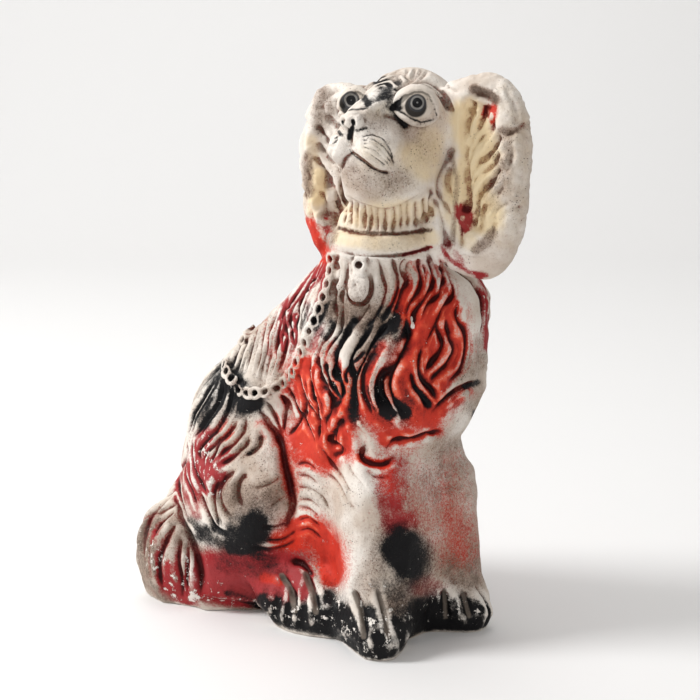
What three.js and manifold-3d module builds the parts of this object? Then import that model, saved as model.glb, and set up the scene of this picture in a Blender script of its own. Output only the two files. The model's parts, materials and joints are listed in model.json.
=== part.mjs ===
// A seated spaniel figurine, cast in one piece in painted plaster: the body in profile, the head
// turned to the display side, a collar with a padlock, and a chain laid over the shoulder and back.
// Millimetres, +Z up. The chest faces +X, the face looks along -Y, and the underside rests on Z = 0.
import * as THREE from "three";
import { mergeVertices } from "three/addons/utils/BufferGeometryUtils.js";
import Module from "manifold-3d";

const wasm = await Module();
wasm.setup();

// Driving dimensions
const HEIGHT = 320;
const TORSO_LOCKS = 28;
const COLUMNS_PER_LOCK = 3;
const TORSO_RINGS = 25;
const TORSO_TOP = 79;
const HEAD_SEGMENTS = 32;
const HEAD_RINGS = 22;
const HEAD_CROWDING = 0.42;
const EAR_SEGMENTS = 20;
const EAR_RINGS = 12;
const SMALLEST_STEP = 0.6;

// Carving of the hair, millimetres
const MANE_GROOVE = 2.4;
const BACK_GROOVE = 3.2;
const TAIL_GROOVE = 5;
const MANE_STEP = 2.6;
const TOE_GROOVE = 3.2;
const EAR_HOLLOW = 3;
const EAR_GROOVE = 1.1;

// Collar, padlock and chain, millimetres
const COLLAR_HEIGHT = 11.5;
const COLLAR_THICKNESS = 2.2;
const COLLAR_AT = 69.6;
const LOCK_WIDTH = 12;
const LOCK_HEIGHT = 17;
const LOCK_THICKNESS = 5;
const SHACKLE_RADIUS = 3.4;
const SHACKLE_WIRE = 1.3;
const LINK_LENGTH = 8.2;
const LINK_WIDTH = 6.8;
const LINK_WIRE = 1.3;
const LINK_LIFT = 0.1;
const LINK_PITCH = 7.2;

// Every free form below is a share of the height: one unit is one per cent of it.
const UNIT = HEIGHT / 100;
const vector = (x, y, z) => new THREE.Vector3(x, y, z).multiplyScalar(UNIT);
const degrees = THREE.MathUtils.degToRad;

// An egg-shaped mass of plaster, turned by Euler angles in degrees
function egg(at, radii, turn = [0, 0, 0]) {
  const centre = vector(...at);
  const radius = vector(...radii);
  const inverse = new THREE.Quaternion()
    .setFromEuler(new THREE.Euler(...turn.map(degrees)))
    .invert();
  return (point) => {
    const local = point.clone().sub(centre).applyQuaternion(inverse);
    const near = local.clone().divide(radius);
    const steep = near.clone().divide(radius).length();
    const reach = near.length();
    return steep > 1e-9 ? (reach * (reach - 1)) / steep : -radius.x;
  };
}

// A round limb that tapers between two points
function limb(from, to, fromRadius, toRadius) {
  const start = vector(...from);
  const along = vector(...to).sub(start);
  const lengthSquared = along.lengthSq();
  return (point) => {
    const offset = point.clone().sub(start);
    const share = THREE.MathUtils.clamp(offset.dot(along) / lengthSquared, 0, 1);
    const radius = THREE.MathUtils.lerp(fromRadius, toRadius, share) * UNIT;
    return offset.addScaledVector(along, -share).length() - radius;
  };
}

// Several masses pressed together, with a soft seam of the given width between them
function press(masses, seam) {
  const width = seam * UNIT;
  return (point) =>
    masses.reduce((nearest, mass) => {
      const distance = mass(point);
      const overlap = Math.max(width - Math.abs(nearest - distance), 0) / width;
      return Math.min(nearest, distance) - (overlap * overlap * width) / 4;
    }, 1e6);
}

// How far out from a point the form reaches in a direction
function reach(form, from, direction, furthest) {
  let distance = furthest;
  for (let step = 0; step < 90 && distance > 0; step += 1) {
    const gap = form(from.clone().addScaledVector(direction, distance));
    if (gap < 0.02) break;
    distance -= Math.max(gap * 0.7, 0.05);
  }
  return Math.max(distance, 0.5);
}

const torsoForm = press(
  [
    egg([-13.8, 2, 23.5], [16, 13.5, 22.5], [0, 12, 0]),
    limb([-14.8, 2, 34], [9, 2, 57], 12.3, 11),
    egg([-9, -5.5, 22], [13.5, 10, 17.5], [0, 12, 0]),
    egg([-9, 9, 20], [13, 9, 18], [0, 12, 0]),
    egg([5, 2, 23], [15, 12.5, 24]),
    egg([15, 3, 47], [16.5, 17, 18], [0, 3, 0]),
    egg([17.4, 4.4, 58], [14.2, 14.6, 10]),
    limb([14, 0, 58], [17.8, -4, 72], 12.2, 8.2),
    egg([17.8, 0.5, 20], [9.5, 13, 26]),
    limb([18.5, -7.5, 26], [20.5, -9.5, 5], 7.2, 6.2),
    limb([22.5, 7, 26], [24, 8, 5], 7, 6.2),
    egg([21.8, -12, 3.5], [7, 5, 5.6], [0, 0, -38]),
    egg([26.4, 8.3, 3.5], [6.8, 5.4, 5.4], [0, 0, 0]),
    egg([4.5, -9.6, 4.5], [10.5, 4.8, 6], [0, 8, 0]),
    egg([4.5, 11.5, 4], [10, 4.2, 5], [0, 8, 0]),
    egg([-25.5, -7, 8.8], [9, 9.5, 12.8], [0, 6, 0]),
    egg([-17.5, -7.6, 5], [8, 6.8, 8], [0, 0, 0]),
  ],
  3.5,
);

// Axis that the rings of the torso are measured from
function torsoAxis(height) {
  const share = THREE.MathUtils.clamp(height / (70 * UNIT), 0, 1);
  return new THREE.Vector3(THREE.MathUtils.lerp(0, 15, share) * UNIT, 0, height);
}

// A value read from a table of [position, value] pairs, eased from one pair to the next
function along(table, position) {
  const last = table.length - 1;
  if (position <= table[0][0]) return table[0][1];
  if (position >= table[last][0]) return table[last][1];
  const next = table.findIndex(([at]) => at > position);
  const [from, start] = table[next - 1];
  const [to, end] = table[next];
  return THREE.MathUtils.lerp(start, end, THREE.MathUtils.smoothstep(position, from, to));
}

// Height of the mane's hem at an angle round the torso: 0 is the display side, 90 the chest
const MANE_HEM = [
  [-180, 48], [-90, 46], [-52, 41], [-15, 37.5], [15, 34], [40, 31.5], [55, 35], [80, 38.5], [104, 45], [180, 48],
];
// How far the locks of the chest swing aside on their way down, degrees by height
const CHEST_SWAY = [
  [30, 6], [36, 2], [42, -12], [47, -17], [52, -14], [58, -2], [64, 4], [72, 0],
];
// Share of that swing at an angle round the torso
const SWAY_SHARE = [
  [-70, 0], [-10, 1], [75, 1], [125, 0],
];

// Angle of a column of the skin; columns crowd together on the display side and follow the locks
const CROWDING = 0.28;
const CROWD_CENTRE = 35;
function columnAngle(column, height) {
  const turn = (column / (TORSO_LOCKS * COLUMNS_PER_LOCK)) * 360 - 180;
  const crowded = CROWD_CENTRE + turn - (CROWDING * 180 * Math.sin(degrees(turn))) / Math.PI;
  const angle = crowded > 180 ? crowded - 360 : crowded;
  return angle + along(SWAY_SHARE, angle) * along(CHEST_SWAY, height);
}

// A groove along guide points given as [angle, height], measured in millimetres on the surface
function groove(guide, width, depth) {
  return (angle, height, girth) => {
    const flat = (at) => new THREE.Vector2((degrees(at[0] - angle) * girth), (at[1] - height) * UNIT);
    let nearest = 1e6;
    for (let index = 1; index < guide.length; index += 1) {
      const from = flat(guide[index - 1]);
      const step = flat(guide[index]).sub(from);
      const share = THREE.MathUtils.clamp(-from.dot(step) / step.lengthSq(), 0, 1);
      nearest = Math.min(nearest, from.addScaledVector(step, share).length());
    }
    return depth * (1 - THREE.MathUtils.smoothstep(nearest, 0, width));
  };
}

const torsoGrooves = [
  groove([[-62, 40], [-50, 37], [-24, 33], [-9, 25], [-12, 17]], 11, 4.2),
  groove([[-76, 21], [-66, 17], [-60, 8], [-57, 0]], 12, 5),
  groove([[-57, 35], [-46, 29], [-43, 23]], 8, 3),
  groove([[-70, 36], [-59, 28], [-54, 22]], 8, 3),
  groove([[-46, 35], [-35, 28], [-38, 21]], 8, 2.6),
  groove([[56, 30], [62, 20], [66, 8]], 10, 2.6),
  groove([[24, 34], [33, 24], [34, 12]], 9, 2.4),
  groove([[150, 40], [132, 33], [118, 22], [122, 12]], 9, 3),
  ...[[42, 50], [51, 58], [60, 67]].map(([top, foot]) => groove([[top, 12], [foot, 2]], 5, TOE_GROOVE)),
  ...[[87, 92], [96, 102], [105, 112]].map(([top, foot]) => groove([[top, 11], [foot, 2]], 5, TOE_GROOVE)),
  ...[[2, 4], [12, 15], [22, 26]].map(([top, foot]) => groove([[top, 9], [foot, 2]], 5, TOE_GROOVE)),
];

// The mane at a place: its share, the share of the chest's deep carving, how far it stands out, its hem
function maneAt(lock, angle, height) {
  const hem = along(MANE_HEM, angle) + 1.6 * Math.sin(lock * 1.7);
  const share = THREE.MathUtils.smoothstep(height, hem - 1.2, hem + 1.2);
  const chest = THREE.MathUtils.smoothstep(angle, -45, -20) * (1 - THREE.MathUtils.smoothstep(angle, 115, 150));
  const rise = share * chest * MANE_STEP * (1 - THREE.MathUtils.smoothstep(height, 62, 67));
  return { share, chest, rise, hem };
}

// Height of the carving over the smooth form, millimetres; negative where it cuts in
function torsoRelief(column, angle, height, girth) {
  const lock = Math.floor(column / COLUMNS_PER_LOCK);
  const between = column % COLUMNS_PER_LOCK === 0 ? 1 : 0;
  const uneven = 0.85 + 0.3 * Math.sin(lock * 2.4 + height * 0.12);
  const mane = maneAt(lock, angle, height);
  const back = (1 - mane.chest) * THREE.MathUtils.smoothstep(height, 26, 36);
  const rump = angle < -70 || angle > 140 ? 1 : THREE.MathUtils.smoothstep(height, mane.hem - 3, mane.hem);
  const tail = angle < -62 && angle > -112 ? 1 - THREE.MathUtils.smoothstep(height, 16, 22) : 0;
  const depth = MANE_GROOVE * mane.share * mane.chest + BACK_GROOVE * back * rump + TAIL_GROOVE * tail;
  const cuts = torsoGrooves.reduce((deepest, cut) => Math.max(deepest, cut(angle, height, girth)), 0);
  return mane.rise - between * uneven * depth - cuts * (1 - mane.share);
}

// The way a form faces at a point on it
function facingOf(form, point) {
  const slope = (x, y, z) => {
    const step = new THREE.Vector3(x, y, z);
    return form(point.clone().add(step)) - form(point.clone().sub(step));
  };
  return new THREE.Vector3(slope(0.5, 0, 0), slope(0, 0.5, 0), slope(0, 0, 0.5)).normalize();
}

// Skin over a form: rows of points, one ring each, closed by a point at either end
function skin(rings, first, last) {
  const segments = rings[0].length;
  const points = [first, ...rings.flat(), last];
  const faces = [];
  const at = (ring, segment) => 1 + ring * segments + (segment % segments);
  for (let segment = 0; segment < segments; segment += 1) {
    faces.push(0, at(0, segment + 1), at(0, segment));
    faces.push(points.length - 1, at(rings.length - 1, segment), at(rings.length - 1, segment + 1));
    for (let ring = 0; ring < rings.length - 1; ring += 1) {
      faces.push(at(ring, segment), at(ring, segment + 1), at(ring + 1, segment));
      faces.push(at(ring, segment + 1), at(ring + 1, segment + 1), at(ring + 1, segment));
    }
  }
  const geometry = new THREE.BufferGeometry().setFromPoints(points);
  geometry.setIndex(faces);
  return geometry;
}

function torsoSkin() {
  const columns = TORSO_LOCKS * COLUMNS_PER_LOCK;
  const rings = [];
  for (let ring = 0; ring <= TORSO_RINGS; ring += 1) {
    const height = (ring / TORSO_RINGS) * TORSO_TOP;
    const centre = torsoAxis(height * UNIT);
    const row = [];
    for (let column = 0; column < columns; column += 1) {
      const angle = columnAngle(column, height);
      const direction = new THREE.Vector3(Math.sin(degrees(angle)), -Math.cos(degrees(angle)), 0);
      const girth = reach(torsoForm, centre, direction, 60 * UNIT);
      const point = centre.clone().addScaledVector(direction, girth);
      const facing = facingOf(torsoForm, point);
      if (ring === 0) facing.setZ(0);
      row.push(point.addScaledVector(facing, torsoRelief(column, angle, height, girth)));
    }
    rings.push(row);
  }
  return skin(rings, torsoAxis(0), torsoAxis(TORSO_TOP * UNIT));
}

// Head
const FACE_X = 21.2;
const HEAD_CENTRE = vector(FACE_X, -2, 89);
const pair = (make) => [make(1), make(-1)];
const headForm = press(
  [
    egg([FACE_X, -1, 90], [9.4, 9.8, 10]),
    egg([FACE_X, -4, 82], [8.2, 8.5, 8]),
    ...pair((side) => egg([FACE_X + side * 5.9, -7.4, 94.2], [3.6, 2.6, 3.1])),
    limb([FACE_X, -9, 94], [FACE_X, -16.6, 91.8], 2.9, 2.2),
    ...pair((side) => egg([FACE_X + side * 2.8, -14, 87.8], [3.8, 4.8, 3.4])),
    egg([FACE_X, -11.5, 83.4], [5, 5.4, 4.2], [15, 0, 0]),
    egg([FACE_X, -6.5, 80], [7.8, 8.2, 6]),
  ],
  3,
);

// Mouth line, from the middle of the lip to the corner
const MOUTH = [vector(0, -17.6, 88.6), vector(2.4, -16.4, 87), vector(4.9, -13, 85.6)];
const MOUTH_WIDTH = 5;
const MOUTH_DEPTH = 2.6;
function mouth(point) {
  const place = new THREE.Vector3(Math.abs(point.x - FACE_X * UNIT), point.y, point.z);
  let nearest = 1e6;
  for (let index = 1; index < MOUTH.length; index += 1) {
    const segment = new THREE.Line3(MOUTH[index - 1], MOUTH[index]);
    nearest = Math.min(nearest, segment.closestPointToPoint(place, true, new THREE.Vector3()).distanceTo(place));
  }
  return MOUTH_DEPTH * (1 - THREE.MathUtils.smoothstep(nearest, 0, MOUTH_WIDTH));
}

function headSkin() {
  const rings = [];
  for (let ring = 1; ring < HEAD_RINGS; ring += 1) {
    const polar = Math.PI * (1 - ring / HEAD_RINGS);
    const row = [];
    for (let segment = 0; segment < HEAD_SEGMENTS; segment += 1) {
      const turn = (segment / HEAD_SEGMENTS) * 2 * Math.PI;
      const angle = turn - HEAD_CROWDING * Math.sin(turn);
      const direction = new THREE.Vector3(
        Math.sin(polar) * Math.sin(angle),
        -Math.sin(polar) * Math.cos(angle),
        Math.cos(polar),
      );
      const point = HEAD_CENTRE.clone().addScaledVector(direction, reach(headForm, HEAD_CENTRE, direction, 40 * UNIT));
      row.push(point.addScaledVector(direction, -mouth(point)));
    }
    rings.push(row);
  }
  const pole = (side) => {
    const direction = new THREE.Vector3(0, 0, side);
    return HEAD_CENTRE.clone().addScaledVector(direction, reach(headForm, HEAD_CENTRE, direction, 40 * UNIT));
  };
  return skin(rings, pole(-1), pole(1));
}

// Round parts set in the face: the eyeballs and the tip of the nose, millimetres
const EYE_RADIUS = 8.2;
const EYE_AT = [19.3, -26.6, 302];
const NOSE_RADII = [7.5, 5, 5.5];
const NOSE_AT = [0, -57.5, 294.5];
function ball(radii, at, segments, rings) {
  return new THREE.SphereGeometry(1, segments, rings)
    .scale(...radii)
    .translate(at[0] + FACE_X * UNIT, at[1], at[2]);
}
const features = [
  ...pair((side) => ball([EYE_RADIUS, EYE_RADIUS, EYE_RADIUS], [side * EYE_AT[0], EYE_AT[1], EYE_AT[2]], 12, 8)),
  ball(NOSE_RADII, NOSE_AT, 10, 6),
];

// Ears
const EAR_OUT = 14.8;
function earForm(side, drop) {
  return press(
    [
      limb([FACE_X + side * 8, -2, 95 - drop], [FACE_X + side * 13, -1, 95.5 - drop], 2.8, 3.2),
      egg([FACE_X + side * 15.5, 0, 88 - drop], [7.6, 4, 11.2], [0, side * 4, 0]),
      egg([FACE_X + side * 14.6, 0, 77.4 - drop / 2], [7.9, 4.4, 12.6], [0, side * 4, 0]),
      limb([FACE_X + side * 9.5, 1, 89 - drop], [FACE_X + side * 9, 1, 70], 3, 4.2),
    ],
    3,
  );
}

// How far the hollow and the locks of an ear lie behind its rim
function earCarving(point, middle, side) {
  const across = ((point.x - middle.x) * side) / (7.6 * UNIT);
  const up = (point.z - middle.z) / (18 * UNIT);
  const inside = 1 - THREE.MathUtils.smoothstep(Math.hypot(across, up), 0.5, 0.85);
  const locks = Math.sin(across * 7 + Math.sin(up * 4) * 1.4);
  return inside * (EAR_HOLLOW + EAR_GROOVE * locks);
}

function earSkin(side) {
  const drop = side > 0 ? 0 : 2.4;
  const form = earForm(side, drop);
  const middle = vector(FACE_X + side * EAR_OUT, 0, 82);
  const rings = [];
  for (let ring = 1; ring < EAR_RINGS; ring += 1) {
    const polar = Math.PI * (1 - ring / EAR_RINGS);
    const centre = middle.clone().setZ((82 + 12 * Math.cos(polar)) * UNIT);
    const row = [];
    for (let segment = 0; segment < EAR_SEGMENTS; segment += 1) {
      const angle = (segment / EAR_SEGMENTS) * 2 * Math.PI;
      const direction = new THREE.Vector3(
        Math.sin(polar) * Math.sin(angle),
        -Math.sin(polar) * Math.cos(angle),
        Math.cos(polar),
      );
      const point = centre.clone().addScaledVector(direction, reach(form, centre, direction, 20 * UNIT));
      point.y += direction.y < 0 ? earCarving(point, middle, side) : 0;
      row.push(point);
    }
    rings.push(row);
  }
  const pole = (up) => {
    const from = middle.clone().setZ((82 + 12 * up) * UNIT);
    const direction = new THREE.Vector3(0, 0, up);
    return from.clone().addScaledVector(direction, reach(form, from, direction, 20 * UNIT));
  };
  return skin(rings, pole(-1), pole(1));
}

// A closed geometry as a solid, and back
function solid(geometry) {
  const bare = geometry.clone();
  bare.deleteAttribute("normal");
  bare.deleteAttribute("uv");
  const merged = mergeVertices(bare, 1e-3);
  return new wasm.Manifold(
    new wasm.Mesh({
      numProp: 3,
      vertProperties: merged.attributes.position.array,
      triVerts: new Uint32Array(merged.index.array),
    }),
  );
}

function geometryOf(made) {
  const mesh = made.getMesh();
  const geometry = new THREE.BufferGeometry();
  geometry.setAttribute("position", new THREE.BufferAttribute(new Float32Array(mesh.vertProperties), 3));
  geometry.setIndex(new THREE.BufferAttribute(new Uint32Array(mesh.triVerts), 1));
  geometry.computeVertexNormals();
  return geometry;
}

// Place on the torso at an angle and height: the point, and the way the surface faces
function seat(angle, height) {
  const centre = torsoAxis(height * UNIT);
  const direction = new THREE.Vector3(Math.sin(degrees(angle)), -Math.cos(degrees(angle)), 0);
  const outward = reach(torsoForm, centre, direction, 60 * UNIT);
  const point = centre.clone().addScaledVector(direction, outward);
  const facing = facingOf(torsoForm, point);
  point.addScaledVector(facing, maneAt(0, angle, height).rise);
  return { point, facing };
}

// A piece laid on the torso: its own Z stands out from the surface and its own Y runs along the guide
function lay(geometry, place, ahead, lift) {
  const side = new THREE.Vector3().crossVectors(ahead, place.facing).normalize();
  const run = new THREE.Vector3().crossVectors(place.facing, side);
  const frame = new THREE.Matrix4().makeBasis(side, run, place.facing);
  frame.setPosition(place.point.clone().addScaledVector(place.facing, lift));
  return geometry.applyMatrix4(frame);
}

// Collar band round the neck
const NECK = vector(17.1, -3.3, COLLAR_AT);
const NECK_RADIUS = 28.4;
function collar() {
  const half = COLLAR_HEIGHT / 2;
  const outside = NECK_RADIUS + COLLAR_THICKNESS;
  const profile = [
    [NECK_RADIUS - 6, -half], [outside - 0.8, -half], [outside, 0.8 - half],
    [outside, half - 0.8], [outside - 0.8, half], [NECK_RADIUS - 6, half], [NECK_RADIUS - 6, -half],
  ];
  return new THREE.LatheGeometry(profile.map(([radius, rise]) => new THREE.Vector2(radius, rise)), 22)
    .rotateX(Math.PI / 2)
    .rotateX(degrees(-5))
    .translate(NECK.x, NECK.y, NECK.z);
}

// Padlock hanging from the front of the collar
const LOCK_PLACE = [9, 65.2];
function padlock() {
  const outline = new THREE.Shape();
  const half = LOCK_WIDTH / 2 - 0.8;
  outline.moveTo(-half, LOCK_HEIGHT / 2 - 2);
  outline.lineTo(-half, half - LOCK_HEIGHT / 2);
  outline.absarc(0, half - LOCK_HEIGHT / 2, half, Math.PI, 2 * Math.PI, false);
  outline.lineTo(half, LOCK_HEIGHT / 2 - 2);
  outline.lineTo(half - 1.4, LOCK_HEIGHT / 2 - 0.8);
  outline.lineTo(1.4 - half, LOCK_HEIGHT / 2 - 0.8);
  const body = new THREE.ExtrudeGeometry(outline, {
    depth: LOCK_THICKNESS + 2, bevelThickness: 0.8, bevelSize: 0.8, bevelSegments: 1, curveSegments: 8,
  });
  body.translate(0, 0, -5);
  const shackle = new THREE.TorusGeometry(SHACKLE_RADIUS, SHACKLE_WIRE, 5, 12);
  shackle.translate(0, LOCK_HEIGHT / 2 + 1, 2.2);
  const place = seat(...LOCK_PLACE);
  place.facing.setZ(0.12).normalize();
  const up = new THREE.Vector3(0, 0, 1);
  return [lay(body, place, up, 0), lay(shackle, place, up, 0)];
}

// Chain from the collar, down the shoulder, along the flank and over the back
const CHAIN_GUIDE = [
  [-17, 67], [-18, 61], [-20, 55], [-25, 49], [-36, 44], [-50, 41.5], [-62, 42], [-70, 44.5], [-78, 48],
  [-90, 51], [-106, 52],
];
function chain() {
  const places = [];
  for (let index = 1; index < CHAIN_GUIDE.length; index += 1) {
    for (let step = 0; step < 20; step += 1) {
      const at = CHAIN_GUIDE[index - 1].map((value, axis) =>
        THREE.MathUtils.lerp(value, CHAIN_GUIDE[index][axis], step / 20),
      );
      places.push(seat(...at));
    }
  }
  const links = [];
  let travelled = LINK_PITCH;
  for (let index = 1; index < places.length - 1; index += 1) {
    travelled += places[index].point.distanceTo(places[index - 1].point);
    if (travelled < LINK_PITCH) continue;
    travelled -= LINK_PITCH;
    const link = new THREE.TorusGeometry(LINK_WIDTH / 2 - LINK_WIRE, LINK_WIRE, 3, 6);
    link.scale(1, LINK_LENGTH / LINK_WIDTH, 1);
    const ahead = places[index + 1].point.clone().sub(places[index - 1].point);
    links.push(lay(link, places[index], ahead, LINK_LIFT));
  }
  return links;
}

const skins = [torsoSkin(), headSkin(), earSkin(1), earSkin(-1)].map((form) => solid(form).simplify(SMALLEST_STEP));
const trims = [...features, collar(), ...padlock(), ...chain()].map(solid);
// One outer skin: pockets shut in between the pieces are plaster
const cast = [...skins, ...trims]
  .reduce((whole, piece) => whole.add(piece))
  .decompose()
  .reduce((outer, shell) => (shell.volume() > outer.volume() ? shell : outer));

const plaster = new THREE.MeshStandardMaterial({ color: 0xd9d3c8, roughness: 0.7, metalness: 0 });
const dog = new THREE.Mesh(geometryOf(cast), plaster);
dog.name = "spaniel";
const figurine = new THREE.Group();
figurine.add(dog);

export default figurine;
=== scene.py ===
"""A seated spaniel figurine: one hollow plaster cast, moulded with a collar, padlock and chain, and
sprayed with scarlet, black and cream. Everything is in metres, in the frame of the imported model."""

import json
import logging
import math
from dataclasses import dataclass, field
from enum import Enum
from typing import ClassVar, Sequence

import bmesh
import bpy
import numpy as np
from mathutils import Matrix, Vector, noise
from mathutils.bvhtree import BVHTree
from mathutils.kdtree import KDTree
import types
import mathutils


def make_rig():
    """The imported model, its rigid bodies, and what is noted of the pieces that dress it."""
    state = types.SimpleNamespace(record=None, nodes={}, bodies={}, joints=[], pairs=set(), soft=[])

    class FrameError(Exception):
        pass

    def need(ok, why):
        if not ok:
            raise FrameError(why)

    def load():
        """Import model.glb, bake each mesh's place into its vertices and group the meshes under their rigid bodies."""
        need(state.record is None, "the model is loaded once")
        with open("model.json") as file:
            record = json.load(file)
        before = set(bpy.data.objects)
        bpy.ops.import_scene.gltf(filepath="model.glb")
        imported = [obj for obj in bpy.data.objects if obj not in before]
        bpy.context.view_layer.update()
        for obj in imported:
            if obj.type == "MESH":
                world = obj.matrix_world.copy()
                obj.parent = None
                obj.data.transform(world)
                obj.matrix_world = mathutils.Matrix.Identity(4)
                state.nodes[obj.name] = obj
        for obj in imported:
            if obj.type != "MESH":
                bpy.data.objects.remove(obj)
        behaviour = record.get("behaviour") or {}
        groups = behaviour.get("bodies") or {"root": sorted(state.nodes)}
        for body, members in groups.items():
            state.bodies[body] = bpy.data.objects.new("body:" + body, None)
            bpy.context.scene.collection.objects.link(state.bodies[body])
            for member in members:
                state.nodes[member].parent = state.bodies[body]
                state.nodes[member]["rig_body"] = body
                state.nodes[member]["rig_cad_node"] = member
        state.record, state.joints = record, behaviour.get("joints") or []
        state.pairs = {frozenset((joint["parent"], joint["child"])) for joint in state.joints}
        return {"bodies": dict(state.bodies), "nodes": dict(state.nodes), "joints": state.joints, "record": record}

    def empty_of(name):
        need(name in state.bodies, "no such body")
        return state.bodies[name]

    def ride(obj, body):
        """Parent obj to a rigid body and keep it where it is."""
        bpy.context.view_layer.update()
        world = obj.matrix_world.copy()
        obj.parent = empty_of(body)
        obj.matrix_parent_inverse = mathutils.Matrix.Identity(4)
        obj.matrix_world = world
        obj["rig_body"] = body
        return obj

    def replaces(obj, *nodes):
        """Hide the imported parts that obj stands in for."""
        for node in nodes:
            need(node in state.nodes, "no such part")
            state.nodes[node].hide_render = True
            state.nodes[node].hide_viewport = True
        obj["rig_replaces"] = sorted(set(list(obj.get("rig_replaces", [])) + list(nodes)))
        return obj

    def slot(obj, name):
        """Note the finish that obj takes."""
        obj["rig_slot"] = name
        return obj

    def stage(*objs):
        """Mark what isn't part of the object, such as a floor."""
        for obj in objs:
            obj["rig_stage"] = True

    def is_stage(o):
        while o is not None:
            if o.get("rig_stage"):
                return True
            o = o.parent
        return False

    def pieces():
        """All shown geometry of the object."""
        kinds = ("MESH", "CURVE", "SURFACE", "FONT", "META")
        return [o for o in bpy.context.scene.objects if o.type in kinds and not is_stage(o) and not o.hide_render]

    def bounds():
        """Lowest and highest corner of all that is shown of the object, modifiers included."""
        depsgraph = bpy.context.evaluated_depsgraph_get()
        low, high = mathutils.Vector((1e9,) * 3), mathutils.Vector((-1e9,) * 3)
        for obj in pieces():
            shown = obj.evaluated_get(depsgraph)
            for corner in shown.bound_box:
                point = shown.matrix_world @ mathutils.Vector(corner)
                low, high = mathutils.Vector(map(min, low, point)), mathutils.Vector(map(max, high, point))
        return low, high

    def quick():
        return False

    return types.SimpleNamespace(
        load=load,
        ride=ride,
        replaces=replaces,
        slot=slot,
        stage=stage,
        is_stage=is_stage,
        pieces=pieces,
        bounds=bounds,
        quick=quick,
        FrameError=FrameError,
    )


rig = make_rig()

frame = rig.load()
CAD_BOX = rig.bounds()
LOG = logging.getLogger("spaniel")

MM = 0.001
# In millimetres: the head's middle across, a per cent of the height, and the collar's height and lean.
HEAD_MIDDLE = 67.84
PER_CENT = 3.2
COLLAR_LEVEL = 224.0
COLLAR_LEAN = 48.0
Point = tuple[float, float]
Triple = tuple[float, float, float]
Colour = Triple


class Sheet(Enum):
    """Enlarged windows of the photograph that places are read on: left, top, enlargement."""

    HEAD = (290.0, 55.0, 5.6)
    CHEST = (200.0, 240.0, 5.227)
    FLANK = (120.0, 380.0, 6.03)
    FEET = (290.0, 430.0, 5.807)


class Paint(Enum):
    """Paints and stains on the plaster; each is an attribute of the cast's skin."""

    SCARLET = "scarlet"
    CRIMSON = "crimson"
    BLACK = "black"
    CREAM = "cream"
    GRIME = "grime"
    BARE = "bare"
    CHIPS = "chips"
    CHALK = "chalk"


MISTED = (Paint.SCARLET, Paint.CRIMSON, Paint.BLACK)
Strokes = dict[Paint, tuple[tuple, ...]]


@dataclass(frozen=True)
class Groove:
    """A cut in the plaster, or a ridge where its depth is negative.

    Args:
        sheet: the window that the points are read on.
        points: places along the cut, in that window.
        width: half the cut's width, in millimetres.
        depth: how deep it goes, in millimetres.
    """

    sheet: Sheet
    points: tuple[Point, ...]
    width: float = 3.0
    depth: float = 1.6


@dataclass(frozen=True)
class Spray:
    """A stroke of the spray gun or a stain.

    Args:
        paint: what is sprayed.
        sheet: the window that the points are read on.
        points: places along the stroke, in that window.
        radius: half the stroke's width, in that window.
        strength: how much of the plaster it covers.
    """

    paint: Paint
    sheet: Sheet
    points: tuple[Point, ...]
    radius: float
    strength: float = 1.0


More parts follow.
